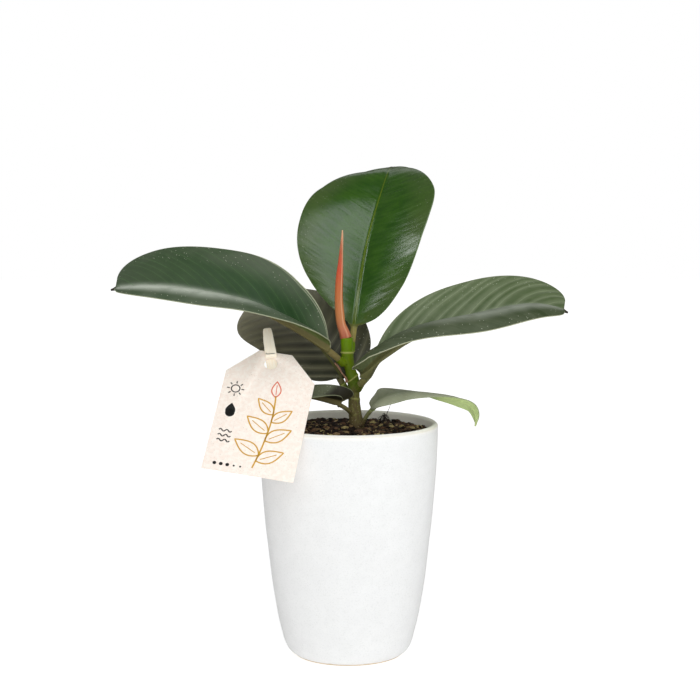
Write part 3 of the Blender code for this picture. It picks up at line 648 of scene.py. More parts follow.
def leaf_look(name, row):
    """A waxy leaf: both its sides, midrib, pale rolled margin, stalk and drip tip."""
    look = Look(name, row["shine"])
    vein, across, edge, side, along, pale, ahead, clear = map(
        look.value, ("vein", "across", "edge", "side", "along", "pale", "ahead", "line"))
    wave = look.math("ABSOLUTE", look.math("SUBTRACT", look.math("FRACT", vein), 0.5))
    streak = look.streaks(vein, look.times(across, 0.03), side, 2.3)
    line = look.times(look.step(wave, 0.455, 0.495), look.step(edge, 0.5, 4.0), look.step(streak, 0.25, 0.5),
                      clear)
    fine = look.noise(1.6, 3)
    rib = look.math("DIVIDE", look.math("ABSOLUTE", across), look.step(along, 0, 150, 1.5, 0.5))
    # Painted shade near the base: up to the given distances the upper side takes the underside's colour.
    below = look.math("MAXIMUM", look.step(side, 0.3, 0.7), look.step(along, *row["painted_shade_heel"], 1.0, 0.0))
    colour = look.mix(below, leaf_upper(look, row, wave, streak, line),
                      leaf_under(look, row, wave, fine, rib))
    rib_mask = look.times(look.step(rib, 1.15, 0.65), look.step(side, 0.7, 0.3))
    colour = look.over(colour, row["rib"], rib_mask, 0.9)
    rolled = look.math("DIVIDE", edge, pale)
    groove = look.step(look.math("ABSOLUTE", look.math("SUBTRACT", rolled, 0.5)), 0.1, 0.22)
    marked = look.math("MAXIMUM", groove, look.step(pale, 1.4, 1.0))
    colour = look.over(colour, row["margin"], look.step(rolled, 1.1, 0.6), marked)
    stalk = look.mix(fine, row["stalk"], scaled(row["stalk"], 1.5))
    colour = look.mix(look.step(along, 2.0, -3.0), colour, stalk)
    colour = look.mix(look.step(ahead, 4.5, 2.5), colour, row["tip"])
    roughness = look.plus(row["roughness"], look.step(streak, 0.3, 0.7), 0.12)
    roughness = look.plus(look.plus(roughness, side, 0.15), rib_mask, -0.06)
    roughness = look.math("MAXIMUM", roughness, look.step(ahead, 2.0, 4.5, 0.7, 0.0))
    return look.finish(colour, roughness, (look.noise(0.7, 2), row["grain"]), (streak, row["streaks"]),
                       (look.math("SUBTRACT", 1.0, line), 0.12))


def pot_look():
    """Matte white glaze with fine speckle, creamy at the rim, paler and creamier inside as painted light,
    bare clay at the lip and foot.
    """
    look = Look("glaze", 0.35)
    height = look.height()
    radius = look.distance((1, 1, 0))
    grain = look.noise(1.1, 3, 0.6)
    glaze = look.mix(look.step(look.noise(9, 4, 0.6), 0.3, 0.7), (0.815, 0.81, 0.805), (0.84, 0.835, 0.83))
    glaze = look.over(glaze, (0.66, 0.66, 0.65), look.step(grain, 0.5, 0.75), 0.45)
    glaze = look.over(glaze, (0.56, 0.54, 0.5), look.step(look.cells(2.4), 0.12, 0.06), 0.35)
    glaze = look.over(glaze, (0.98, 0.95, 0.89), look.step(height, 0.165, 0.17),
                      look.step(radius, 0.0655, 0.0648), 0.85)
    # Painted light: the upper inner wall is paler and creamier than the outer glaze.
    glaze = look.over(glaze, (0.96, 0.93, 0.84), look.step(radius, 0.0635, 0.0625),
                      look.step(height, 0.15, 0.153))
    clay = look.mix(look.noise(1.5, 3), (0.6, 0.46, 0.3), (0.76, 0.64, 0.48))
    ragged = look.plus(height, look.noise(4, 2), 0.0012)
    lip = look.times(look.step(ragged, 0.1682, 0.1694), look.step(radius, 0.0638, 0.0647), 0.28)
    bare = look.math("MAXIMUM", lip, look.step(ragged, 0.0024, 0.0014))
    return look.finish(look.mix(bare, glaze, clay), look.plus(0.42, grain, 0.2), (grain, 0.06),
                       (look.noise(3.5, 2), 0.08))


def soil_look(name, tinted):
    """Damp soil; crumbs take their colour from their own tint."""
    look = Look(name, 0.3)
    if tinted:
        tint = look.stray(look.value("tint"), look.noise(1.2, 2), 0.12)
    else:
        tint = look.times(look.noise(2.4, 4, 0.65), 0.8)
    colour = look.ramp(tint, ((0.0, (0.007, 0.004, 0.003)), (0.4, (0.026, 0.014, 0.009)),
                              (0.66, (0.066, 0.035, 0.02)), (0.8, (0.14, 0.074, 0.038)),
                              (0.88, (0.24, 0.17, 0.075)), (0.94, (0.36, 0.3, 0.12)),
                              (1.0, (0.5, 0.36, 0.2))))
    return look.finish(colour, 0.75, (look.noise(0.6, 3, 0.6), 0.25))


def rootlet_look():
    """Dark brown with fine fibres."""
    look = Look("rootlets", 0.3)
    fibres = look.noise(0.8, 3)
    return look.finish(look.mix(fibres, (0.008, 0.006, 0.005), (0.05, 0.035, 0.03)), 0.7, (fibres, 0.1))


def stem_look():
    """Bright green at the top, olive and then brown bark below, with rings and pores."""
    look = Look("stem", 0.2)
    height = look.height()
    grain = look.noise(1.2, 4, 0.6, (1, 1, 0.35))
    level = look.stray(height, look.noise(5, 2), 0.012)
    stops = ((0.66, (0.08, 0.055, 0.024)), (0.7, (0.15, 0.13, 0.045)), (0.755, (0.17, 0.165, 0.045)),
             (0.8, (0.07, 0.115, 0.003)), (0.86, (0.11, 0.17, 0.002)), (0.93, (0.13, 0.25, 0.002)))
    colour = look.ramp(look.times(level, 4.0), stops)
    colour = look.over(colour, (0.095, 0.065, 0.03), look.step(grain, 0.42, 0.62),
                       look.step(level, 0.2, 0.188, 0.12, 0.75))
    colour = look.over(colour, (0.42, 0.42, 0.13), look.value("ring"), 0.85)
    pores = look.times(look.step(look.cells(1.7), 0.22, 0.12), look.step(height, 0.195, 0.185))
    colour = look.over(colour, (0.36, 0.3, 0.2), pores, 0.7)
    return look.finish(colour, look.step(height, 0.18, 0.22, 0.6, 0.38), (grain, 0.22), (pores, 0.1))


def sheath_look():
    """Orange to red skin with fine long streaks, pink at the foot and pale at the tip."""
    look = Look("sheath")
    streaks = look.noise(0.9, 3, 0.55, (1, 1, 0.06))
    level = look.stray(look.height(), streaks, 0.012)
    stops = ((0.69, (0.4, 0.1, 0.05)), (0.712, (0.54, 0.17, 0.085)), (0.74, (0.52, 0.19, 0.062)),
             (0.8, (0.49, 0.13, 0.036)), (0.845, (0.54, 0.066, 0.026)), (0.885, (0.42, 0.095, 0.038)),
             (0.93, (0.6, 0.33, 0.18)))
    colour = look.ramp(look.times(level, 3.0), stops)
    colour = look.over(colour, (0.8, 0.5, 0.3), look.value("seam"), 0.6)
    return look.finish(colour, 0.36, (streaks, 0.08))


def strip_look():
    """Dry papery brown with long fibres."""
    look = Look("dry_strip", 0.3)
    fibres = look.noise(0.5, 3, 0.6, (1, 1, 0.2))
    colour = look.ramp(fibres, ((0.3, (0.12, 0.05, 0.03)), (0.5, (0.3, 0.15, 0.09)), (0.7, (0.5, 0.3, 0.2))))
    return look.finish(colour, 0.7, (fibres, 0.15))


def card_look():
    """Recycled card: warm pulp with fine fibres and darker flecks."""
    look = Look("card", 0.25)
    pulp = look.step(look.noise(3.0, 4, 0.65), 0.35, 0.68)
    colour = look.mix(pulp, (0.93, 0.8, 0.71), (0.98, 0.89, 0.81))
    colour = look.over(colour, (0.5, 0.4, 0.34), look.step(look.noise(0.8, 1), 0.68, 0.74), 0.45)
    fibre = look.step(look.noise(0.5, 2, 0.5, (0.25, 1, 1)), 0.66, 0.72)
    colour = look.over(colour, (0.93, 0.88, 0.82), fibre, 0.4)
    return look.finish(colour, 0.85, (look.noise(0.5, 3), 0.03))


def ink_look(name, colour):
    """Printing ink that lets a little of the card's grain show."""
    look = Look(name, 0.3)
    worn = look.step(look.noise(0.5, 2), 0.62, 0.75)
    return look.finish(look.over(colour, scaled(colour, 0.6, 0.3), worn, 0.3), 0.6)


def wood_look():
    """Pale birch with grain along the leg."""
    look = Look("birch", 0.35)
    grain = look.noise(0.9, 4, 0.6, (1, 1, 0.08))
    colour = look.mix(look.step(grain, 0.35, 0.8), (1.0, 0.92, 0.78), (0.96, 0.83, 0.64))
    return look.finish(colour, 0.6, (grain, 0.05))


def wire_look():
    """Plain drawn wire."""
    look = Look("wire", metal=1.0)
    drawn = look.noise(0.4, 2)
    return look.finish(look.mix(drawn, (0.5, 0.5, 0.5), (0.68, 0.67, 0.65)), look.plus(0.25, drawn, 0.15))


def stage_look():
    """White paper that glows, so that it stays white under the pot and up to the horizon."""
    look = Look("stage", 0.0)
    glow = look.step(look.distance((1, 1, 1)), 0.3, 1.6, *FLOOR_GLOW)
    look.put(look.shader.inputs["Emission Color"], (1.0, 1.0, 1.0))
    look.put(look.shader.inputs["Emission Strength"], glow)
    return look.finish(look.mix(look.noise(600, 1), (0.5, 0.5, 0.5), (0.51, 0.51, 0.51)), 0.9)


# Pot and soil

def pot_inner_radius(height):
    """Radius of the pot's inner wall."""
    return lookup(POT_OUTER, height) - POT_WALL


def make_pot():
    """The glazed pot: rounded foot edge, swelling wall, rounded lip, slightly uneven as thrown clay is."""
    half = POT_WALL / 2
    middle = POT_RIM_RADIUS - half
    foot = [(POT_FOOT_RADIUS - 6, 0.0), (POT_FOOT_RADIUS - 0.4, 0.0), (POT_FOOT_RADIUS + 0.3, 0.15)]
    wall = smooth_path([(r, z) for z, r in POT_OUTER], np.linspace(0, 1, POT_ROWS))
    lip = [(middle + half * math.cos(a), POT_HEIGHT - half + half * math.sin(a))
           for a in np.linspace(0, math.pi, 17)[1:-1]]
    inside = [(pot_inner_radius(z), z) for z in np.linspace(POT_OUTER[-1][0], POT_HOLLOW_FOOT, 40)]
    low = pot_inner_radius(POT_HOLLOW_FOOT)
    floor = [(low - 4.0, POT_FLOOR + 2.0), (low - 9.0, POT_FLOOR), (0.0, POT_FLOOR)]
    points, faces = turned([(0.0, 0.0)] + foot + [tuple(p) for p in wall] + lip + inside + floor, POT_SIDES)
    points = np.array(points)
    uneven = np.array([noise.noise(Vector(p) / POT_UNEVEN_SIZE) for p in points]) * POT_UNEVEN
    radius = np.hypot(points[:, 0], points[:, 1])
    points[:, :2] *= (1 + uneven / np.maximum(radius, 1))[:, None]
    pot = add_piece("pot_glazed", points, faces, pot_look())
    pot.data.set_sharp_from_angle(angle=math.radians(POT_SHARP))
    join_body(pot, stands_for=["pot"])


def soil_height(x, y):
    """Surface of the soil, with clumps."""
    radius = math.hypot(x, y)
    crown = SOIL_CROWN * max(0.0, 1 - radius / 55.0)
    clumps = (math.sin(x * 0.61 + 1.3) * math.sin(y * 0.53 - 0.4) + 0.7 * math.sin(x * 0.27 - y * 0.33)
              + 0.5 * math.sin(x * 0.9 + y * 1.1 + 2.0))
    return SOIL_EDGE_HEIGHT + crown + SOIL_CLUMP * 0.5 * clumps


def make_soil():
    """The bed of soil: a closed plug with a crumbly top."""
    side_gap, top_gap = SOIL_GAPS
    bottom = POT_FLOOR + 0.5
    wall = [(pot_inner_radius(z) - side_gap, z) for z in (POT_HOLLOW_FOOT, 53, 98, 128, 143, 158)]
    edge = pot_inner_radius(SOIL_EDGE_HEIGHT) - top_gap
    top = [(edge * (1 - i / SOIL_RINGS), 0.0) for i in range(SOIL_RINGS)]
    points, faces = turned([(0.0, bottom), (36.0, bottom)] + wall + top + [(0.0, 0.0)], SOIL_SIDES)
    points = np.array(points)
    for i in range(1 + (1 + len(wall)) * SOIL_SIDES, len(points)):
        x, y = points[i, :2]
        grain = noise.fractal(Vector((x, y, 3.0)) / 2.2, 0.7, 2.1, 4)
        points[i, 2] = soil_height(x, y) + SOIL_GRAIN * grain - 0.5
    soil = add_piece("soil_bed", points, faces, soil_look("soil_bed", False))
    join_body(soil, stands_for=["soil"])


def crumb_shape():
    """Points and faces of a 20-sided lump of radius 1."""
    g = (1 + math.sqrt(5)) / 2
    points = np.array([(-1, g, 0), (1, g, 0), (-1, -g, 0), (1, -g, 0), (0, -1, g), (0, 1, g), (0, -1, -g),
                       (0, 1, -g), (g, 0, -1), (g, 0, 1), (-g, 0, -1), (-g, 0, 1)], float)
    faces = [(0, 11, 5), (0, 5, 1), (0, 1, 7), (0, 7, 10), (0, 10, 11), (1, 5, 9), (5, 11, 4), (11, 10, 2),
             (10, 7, 6), (7, 1, 8), (3, 9, 4), (3, 4, 2), (3, 2, 6), (3, 6, 8), (3, 8, 9), (4, 9, 5),
             (2, 4, 11), (6, 2, 10), (8, 6, 7), (9, 8, 1)]
    return unit(points), faces


def make_crumbs():
    """Loose crumbs, bark chips and pale bits all over the soil."""
    draw = np.random.default_rng(CRUMB_SEED)
    ball, faces = crumb_shape()
    reach = pot_inner_radius(SOIL_EDGE_HEIGHT) - 1.6
    lumps = list(BITS)
    for _ in range(CRUMBS):
        radius = reach * math.sqrt(draw.random())
        angle = draw.uniform(0, 2 * math.pi)
        size = CRUMB_RADIUS + CRUMB_SPREAD * draw.random() ** 2.6
        lumps.append(((radius * math.cos(angle), radius * math.sin(angle)), size, draw.random() ** 1.25))
    parts, tints = [], []
    for (x, y), size, tint in lumps:
        size = min(size, reach + 1.4 - math.hypot(x, y))
        shape = ball * (1 + draw.uniform(-0.25, 0.25, (len(ball), 1)))
        shape = shape * np.array([1.25, 0.9, draw.uniform(0.45, 0.85)])
        spin = Matrix.Rotation(draw.uniform(0, 2 * math.pi), 3, "Z")
        tilt = Matrix.Rotation(draw.uniform(-0.6, 0.6), 3, "X")
        shape = shape @ np.array(spin @ tilt).T * size
        parts.append((shape + (x, y, soil_height(x, y) + size * 0.22), faces))
        tints += [tint] * len(ball)
    join_body(add_piece("soil_crumbs", *gather(parts), soil_look("soil_crumbs", True), smooth=False,
                        values={"tint": tints}))


def make_rootlets():
    """A tuft of dark rootlets behind the stem, one of them standing up."""
    draw = np.random.default_rng(CRUMB_SEED + 1)
    centre = np.array(ROOTLET_PLACE)
    t = np.linspace(0, 1, ROOTLET_POINTS)
    parts = []
    for _ in range(ROOTLETS):
        angle = draw.uniform(0, 2 * math.pi)
        out = np.array([math.cos(angle), math.sin(angle), 0.0])
        lift = draw.uniform(1.5, 5.0)
        path = [centre - out * 3 + (0, 0, -2), centre - out * draw.uniform(1, 2) + (0, 0, lift * 0.7),
                centre + out * draw.uniform(0, 2) + (0, 0, lift),
                centre + out * draw.uniform(3, 6) + (0, 0, -0.5)]
        parts.append(join_rings(tube_rings(smooth_path(path, t), 0.26 - 0.13 * t, 7)))
    parts.append(join_rings(tube_rings(smooth_path(ROOTLET_HAIR, t), 0.3 - 0.16 * t, 6)))
    join_body(add_piece("rootlets", *gather(parts), rootlet_look()))


# Leaves

def half_width(t, widest, base_power, tip_power):
    """Share of the full half-width along the rib, ending in a drip tip."""
    before = np.clip((widest - t) / widest, 0, 1)
    after = np.clip((t - widest) / (1 - TIP_LENGTH - widest), 0, 1)
    share = np.where(t < widest, (1 - before**2.2) ** base_power, (1 - after**2.2) ** tip_power)
    point = TIP_WIDTH * np.clip((1 - t) / TIP_LENGTH, 0.22, 1)
    return (share**3 + point**3) ** (1 / 3)


def rib_steps(row):
    """Distances between a leaf's rib points. The first is along its stalk."""
    return np.linalg.norm(np.diff(row["rib"], axis=0), axis=1)


def stalk_share(row):
    """The stalk's share of the way from a leaf's foot to its tip."""
    steps = rib_steps(row)
    return steps[0] / steps.sum()


def rib_frame(row, g):
    """Rib points with their forward, right and up directions, for shares g of the way from foot to tip."""
    start = stalk_share(row)
    rib = smooth_path(row["rib"], g)
    after, before = (smooth_path(row["rib"], np.clip(g + nudge, 0, 1)) for nudge in (0.01, -0.01))
    ahead = unit(after - before)
    face = through_three(row["face"], np.clip((g - start) / (1 - start), 0, 1))
    right = unit(np.cross(ahead, face))
    return rib, ahead, right, np.cross(right, ahead)


def blade_grid(row, t, steps):
    """Upper side of a blade by row and column, with each point's distance from the rib, below 0 on the left
    half, and the width of its half there."""
    start = stalk_share(row)
    rib, ahead, right, up = rib_frame(row, start + (1 - start) * t)
    halves, distances, reaches = [], [], []
    for sign, key in ((-1, "left"), (1, "right")):
        width, widest, base_power, tip_power, fold, bend, run = row[key]
        wide = half_width(t, widest, base_power, tip_power)
        ease = np.clip(wide / 0.35, 0, 1)
        fold = np.radians(through_three(fold, t))[:, None]
        bend = (np.radians(through_three(bend, t)) * ease)[:, None]
        bend = np.where(np.abs(bend) < 1e-3, 1e-3, bend)
        reach = (wide * width)[:, None]
        across = (np.sin(fold + bend * steps) - np.sin(fold)) / bend * reach
        lift = (np.cos(fold) - np.cos(fold + bend * steps)) / bend * reach
        forward = steps * reach * (run[0] + (run[1] - run[0]) * t)[:, None]
        halves.append(rib[:, None] + sign * across[..., None] * right[:, None]
                      + lift[..., None] * up[:, None] + forward[..., None] * ahead[:, None])
        distances.append(sign * steps * reach)
        reaches.append(np.broadcast_to(reach, distances[-1].shape))
    return tuple(np.concatenate([left[:, :0:-1], right_half], axis=1)
                 for left, right_half in (halves, distances, reaches))


def grid_normals(grid):
    """Upward directions of a blade's upper side."""
    along = np.gradient(grid, axis=0)
    across = np.gradient(grid, axis=1)
    return unit(np.cross(across, along))


def leaf_steps(row):
    """Row shares along the blade and column shares across a half, closer together at their ends."""
    small = row["stalk"] < 2.0
    rows, columns = (SMALL_ROWS, SMALL_COLUMNS) if small else (LEAF_ROWS, LEAF_COLUMNS)
    even = np.linspace(0, 1, columns + 1)
    steps = 0.45 * even + 0.55 * (0.5 - 0.5 * np.cos(math.pi * even))
    t = np.linspace(0, 1, rows + 1)
    return 0.5 * (0.5 - 0.5 * np.cos(math.pi * t)) + 0.5 * t, steps


def vein_pattern(look, along, across, reach):
    """Count of side veins at each point, unevenly spaced, and the relief between them."""
    distance = np.abs(across)
    half = (across > 0).astype(int)
    slant, bend, relief = (np.take(look[key], half) for key in ("slant", "bend", "relief"))
    even = (along - slant * distance - bend * distance**2 / np.maximum(reach, 1.0)) / look["spacing"]
    vein = even + 0.12 * np.sin(2.3 * even + 1.7 * half) + 0.05 * np.sin(5.1 * even + half) + 0.35 * half
    inside = smooth_step(reach - distance, 0.5, 6.0) * smooth_step(distance, 0.8, 4.0)
    uneven = 0.7 + 0.3 * np.sin(1.9 * vein)
    return vein, relief * uneven * -np.cos(2 * math.pi * vein) * inside


def stalk_rings(row, count):
    """Round rings along a leaf stalk, with points in the order of a blade's rings."""
    rib, ahead, right, up = rib_frame(row, np.linspace(0, stalk_share(row), STALK_ROWS, endpoint=False))
    rib[0] -= ahead[0] * STALK_SINK
    centre = rib - up * row["stalk"]
    top = np.linspace(math.pi - 0.2, 0.2, count)
    angles = np.concatenate([top, [0.0], -top[::-1], [math.pi]])[:, None]
    return centre[:, None] + row["stalk"] * (np.cos(angles) * right[:, None] + np.sin(angles) * up[:, None])


def blade_rings(row, upper, normals, distance, steps, t):
    """Closed rings round the rows of a blade whose upper side is given."""
    edge_share = np.concatenate([steps[:0:-1], steps])
    rib_depth = row["stalk"] * 1.7 * (1 - t) ** 0.8 + 0.25
    swell = np.exp(-(distance / (row["stalk"] * 0.8)) ** 2)
    thick = BLADE_THICK + (EDGE_THICK - BLADE_THICK) * edge_share + rib_depth[:, None] * swell
    lower = upper - normals * thick[..., None]
    rims = []
    for edge, next_in in ((-1, -2), (0, 1)):
        out = unit(upper[:, edge] - upper[:, next_in]) * EDGE_THICK * 0.3
        rims.append(((upper[:, edge] + lower[:, edge]) / 2 + out)[:, None])
    return np.concatenate([upper, rims[0], lower[:, ::-1], rims[1]], axis=1)


def around(on_upper, on_rim, on_stalk):
    """Values in the order of a leaf's points; the lower side has those of the upper side."""
    rim = np.broadcast_to(np.reshape(on_rim, (-1, 1)), (len(on_upper), 1))
    blade = np.concatenate([on_upper, rim, on_upper[:, ::-1], rim], axis=1)
    return np.concatenate([np.full((STALK_ROWS, blade.shape[1]), on_stalk), blade])


def leaf_sheen_and_bloom(look, t, across, reach):
    """Strength of the dull band beside the midrib, mostly painted sheen and partly waxy bloom, which fades
    out towards base and tip.
    """
    on_half, half_share, other_width, strength = look["sheen_and_bloom"]
    length = (smooth_step(t, *SHEEN_AND_BLOOM_SPAN) * smooth_step(-t, -0.99, -0.95))[:, None]
    share = np.abs(across) / np.maximum(reach, 0.1)
    on_its_half = smooth_step(-share, -half_share, -0.6 * half_share)
    on_the_other = np.exp(-(across / other_width) ** 2)
    return strength * length * np.where((across > 0) == on_half, on_its_half, on_the_other)


def leaf_values(row, look, t, along, across, reach, vein):
    """The named values at a leaf's points that its look goes by."""
    painted_shade, painted_vein_shade, line = (np.where(across > 0, *look[key][::-1]) for key in ("painted_shade", "painted_vein_shade", "line"))
    pale = np.where(across > 0, *(np.interp(t, PALE_SPAN, widths)[:, None] for widths in look["pale"][::-1]))
    side = around(0 * across, 0.5, 0.0)
    side[STALK_ROWS:, across.shape[1] + 1:-1] = 1.0
    all_along = around(along, along[:, 0], 0.0)
    all_along[:STALK_ROWS] = np.linspace(-rib_steps(row)[0], 0, STALK_ROWS, endpoint=False)[:, None]
    ahead = along[-1:] - along
    return {"vein": around(vein, vein[:, -1], 0.0), "across": around(across, 99.0, 99.0),
            "edge": around(reach - np.abs(across), 0.0, 20.0), "side": side, "along": all_along,
            "pale": around(pale, 0.3, 0.3), "ahead": around(ahead, ahead[:, 0], 50.0),
            "sheen_and_bloom": around(leaf_sheen_and_bloom(look, t, across, reach), 0.0, 0.0), "painted_shade": around(painted_shade, 1.0, 1.0),
            "painted_vein_shade": around(painted_vein_shade, 0.0, 0.0), "line": around(line, 0.0, 0.0)}


def make_leaf(name, row):
    """One leaf, stalk and blade: closed rings round the stalk and then round each row of the blade."""
    look = {**LEAF_COMMON, **LEAF_LOOKS[name]}
    t, steps = leaf_steps(row)
    upper, across, reach = blade_grid(row, t, steps)
    along = (t * rib_steps(row)[1:].sum())[:, None] + 0 * across
    vein, relief = vein_pattern(look, along, across, reach)
    ridge = look["ridge"] * np.exp(-across ** 2) * (1 - 0.6 * t)[:, None]
    normals = grid_normals(upper)
    shaped = upper + normals * (relief + ridge)[..., None]
    rings = np.concatenate([stalk_rings(row, upper.shape[1]),
                            blade_rings(row, shaped, normals, across, steps, t)])
    leaf = add_piece(name + "_blade", *join_rings(rings), leaf_look(name, look),
                     values=leaf_values(row, look, t, along, across, reach, vein))
    join_body(leaf, stands_for=[name])


# Stem, sheath and strip

def stem_at(height):
    """The stem's centre along X and its radius at a height."""
    return lookup([(c[2], c[0]) for c, _ in STEM], height), lookup([(c[2], r) for c, r in STEM], height)


def ring_strength(points):
    """How far the stem's rings stand out at each point, as a share of the boldest ring."""
    strength = np.zeros(len(points))
    for height, slant, depth in STEM_RINGS:
        level = height + slant * (points[:, 0] - stem_at(height)[0])
        near = np.exp(-((points[:, 2] - level) / RING_HALF_WIDTH) ** 2)
        strength = np.maximum(strength, depth / BOLDEST_RING * near)
    return strength


def make_stem():
    """The stem with a stub under each leaf stalk, grown together, then ringed."""
    centres = smooth_path([c for c, _ in STEM], np.linspace(0, 1, STEM_ROWS))
    parts = [join_rings(tube_rings(centres, [stem_at(z)[1] for z in centres[:, 2]], STEM_SIDES))]
    for row in LEAVES.values():
        rib, ahead, _, up = rib_frame(row, np.zeros(1))
        foot = rib[0] - up[0] * row["stalk"]
        ends = [foot - ahead[0] * BOSS_LENGTH * back for back in (1.0, 0.5, 0.0)]
        parts.append(join_rings(tube_rings(ends, [row["stalk"] * grow for grow in BOSS_TAPER], BOSS_SIDES)))
    stem = add_piece("stem_grown", *gather(parts), stem_look())
    settle(stem, "grow", "REMESH", mode="VOXEL", voxel_size=STEM_VOXEL * MM, use_smooth_shade=True)
    settle(stem, "soften", "SMOOTH", factor=0.5, iterations=6)
    mesh = stem.data
    points = np.array([v.co for v in mesh.vertices]) / MM
    normals = np.array([v.normal for v in mesh.vertices])
    strength = ring_strength(points)
    rough = np.array([noise.noise(Vector(p) / BARK_SIZE) for p in points])
    full, gone = BARK_FADE
    bark = rough * BARK_DEPTH * smooth_step(-points[:, 2], -gone, -full)
    points += normals * (strength * BOLDEST_RING + bark)[:, None]
    mesh.vertices.foreach_set("co", (points * MM).astype(np.float32).ravel())
    give_values(mesh, {"ring": strength})
    mesh.update()
    join_body(stem, stands_for=["stem"])


def make_sheath():
    """The rolled sheath round the next leaf, with the seam where it overlaps itself."""
    t = np.linspace(0, 1, SHEATH_ROWS)
    path = smooth_path([(*c, r) for c, r in SHEATH], t)
    angles = circle_angles(SHEATH_SIDES)
    seam_angle = np.radians(SHEATH_SEAM[0] + SHEATH_SEAM[1] * t)
    away = (angles[None] - seam_angle[:, None]) % (2 * math.pi)
    step = 1 + SHEATH_OVERLAP * (1 - away / (2 * math.pi)) - 0.03
    rings = tube_rings(path[:, :3], np.ones(len(t)), SHEATH_SIDES, flatten=SHEATH_FLATTEN)
    rings = [centre + (ring - centre) * (radius * grow)[:, None]
             for ring, centre, radius, grow in zip(rings, path[:, :3], path[:, 3], step)]
    seam = np.exp(-(np.minimum(away, 2 * math.pi - away) * path[:, 3:] / SEAM_HALF_WIDTH) ** 2)
    sheath = add_piece("bud_sheath_skin", *join_rings(rings), sheath_look(), values={"seam": seam})
    join_body(sheath, stands_for=["bud_sheath"])


def make_strip():
    """The dry, twisted strip at the second joint of the stem."""
    t = np.linspace(0, 1, STRIP_ROWS)
    centres = smooth_path(STRIP, t)
    ahead = unit(np.gradient(centres, axis=0))
    angles = circle_angles(STRIP_SIDES)
    curl = STRIP_CURL * np.cos(angles) ** 2
    rings = []
    for centre, forward, share in zip(centres, ahead, t):
        twist = math.radians(STRIP_TWIST) * share + 0.5
        base = unit(np.cross(forward, (0.0, 1.0, 0.0)))
        other = np.cross(forward, base)
        across = base * math.cos(twist) + other * math.sin(twist)
        through = np.cross(forward, across)
        wide = STRIP_WIDTH / 2 * (1 - 0.45 * share) * (1 + 0.1 * math.sin(share * 31))
        rings.append(centre + wide * np.cos(angles)[:, None] * across
                     + (STRIP_THICK / 2 * np.sin(angles) + curl)[:, None] * through)
    strip = add_piece("dry_strip_curl", *join_rings(rings), strip_look())
    join_body(strip, stands_for=["dry_strip"])


# Tag and peg

def shift(x, y, z):
    """A move."""
    return Matrix.Translation(Vector((x, y, z)))


def turn(letter, degrees):
    """A turn about one axis."""
    return Matrix.Rotation(math.radians(degrees), 4, letter)


def tag_matrix():
    """From the card's own axes to the part's."""
    return shift(*TAG_PLACE) @ (turn("Z", TAG_YAW) @ turn("X", TAG_LEAN) @ turn("Y", TAG_ROLL))


def peg_matrix():
    """From the peg's own axes, with the origin on its pivot, to the part's."""
    return (tag_matrix() @ shift(PEG_FOOT[0], 0.0, PEG_FOOT[1]) @ turn("Y", PEG_TURN)
            @ shift(0.0, 0.0, PEG_PIVOT))


def make_tag():
    """The card with cut upper corners, a round hole and softly worn edges."""
    look = card_look()
    tag = add_piece("tag_card", *slab(TAG_OUTLINE, -TAG_THICK / 2, TAG_THICK / 2), look, smooth=False,
                    place=tag_matrix())
    ends = [(TAG_HOLE[0], y, TAG_HOLE[1]) for y in (-3.0, 0.0, 3.0)]
    punch = join_rings(tube_rings(ends, [TAG_HOLE_RADIUS] * 3, TAG_HOLE_SIDES))
    cutter = add_piece("tag_cutter", *punch, look, place=tag_matrix())
    bpy.context.view_layer.update()
    settle(tag, "hole", "BOOLEAN", operation="DIFFERENCE", solver="EXACT", object=cutter)
    bpy.data.objects.remove(cutter)
    settle(tag, "edges", "BEVEL", width=TAG_BEVEL * MM, segments=2, limit_method="ANGLE")
    tag.data.set_sharp_from_angle(angle=math.radians(40))
    join_body(tag, stands_for=["tag"])


def stroke(points, width):
    """A printed line through (x, z) points."""
    p = np.array([(x, 0.0, z) for x, z in points])
    across = np.cross(unit(np.gradient(p, axis=0)), (0.0, 1.0, 0.0))
    low, high = INK_DEPTHS
    corners = ((-1, low), (-1, high), (1, high), (1, low))
    return join_rings([np.array([centre + side * width / 2 * a + (0.0, y, 0.0) for a, y in corners])
                       for centre, side in zip(p, across)])


def leaf_outline(foot, angle, length, width):
    """Outline of a drawn leaf from its foot; angle is in degrees from +X."""
    u = np.linspace(0, 1, DRAWN_LEAF_POINTS)
    half = width / 2 * np.sin(math.pi * u**0.8)
    shape = np.concatenate([np.stack([u * length, half], 1), np.stack([u * length, -half], 1)[::-1][1:]])
    c, s = math.cos(math.radians(angle)), math.sin(math.radians(angle))
    return [(foot[0] + x * c - z * s, foot[1] + x * s + z * c) for x, z in shape]


def circle(centre, radius):
    """Points round a circle, closed."""
    return [(centre[0] + radius * math.cos(a), centre[1] + radius * math.sin(a))
            for a in np.linspace(0, 2 * math.pi, CIRCLE_POINTS)]


def sprig_shapes():
    """A sprig with leaves to both sides, and each leaf's midrib."""
    path = smooth_path(SPRIG, np.linspace(0, 1, SPRIG_POINTS))
    shapes = [stroke(path, 1.1)]
    for share, angle, length in SPRIG_LEAVES:
        foot = path[int(share * (SPRIG_POINTS - 1))]
        outline = leaf_outline(foot, angle, length, length * 0.48)
        tip = np.array(outline[DRAWN_LEAF_POINTS - 1])
        shapes += [stroke(outline, 1.0), stroke([foot + (tip - foot) * k for k in (0.15, 0.45, 0.75)], 0.6)]
    return shapes


def bud_shapes():
    """The bud on top of the sprig."""
    return [stroke(leaf_outline((7.0, -29.0), 95, 13, 6.5), 0.9),
            stroke([(6.9, -27.0), (6.5, -22.5), (6.3, -19.0)], 0.6)]


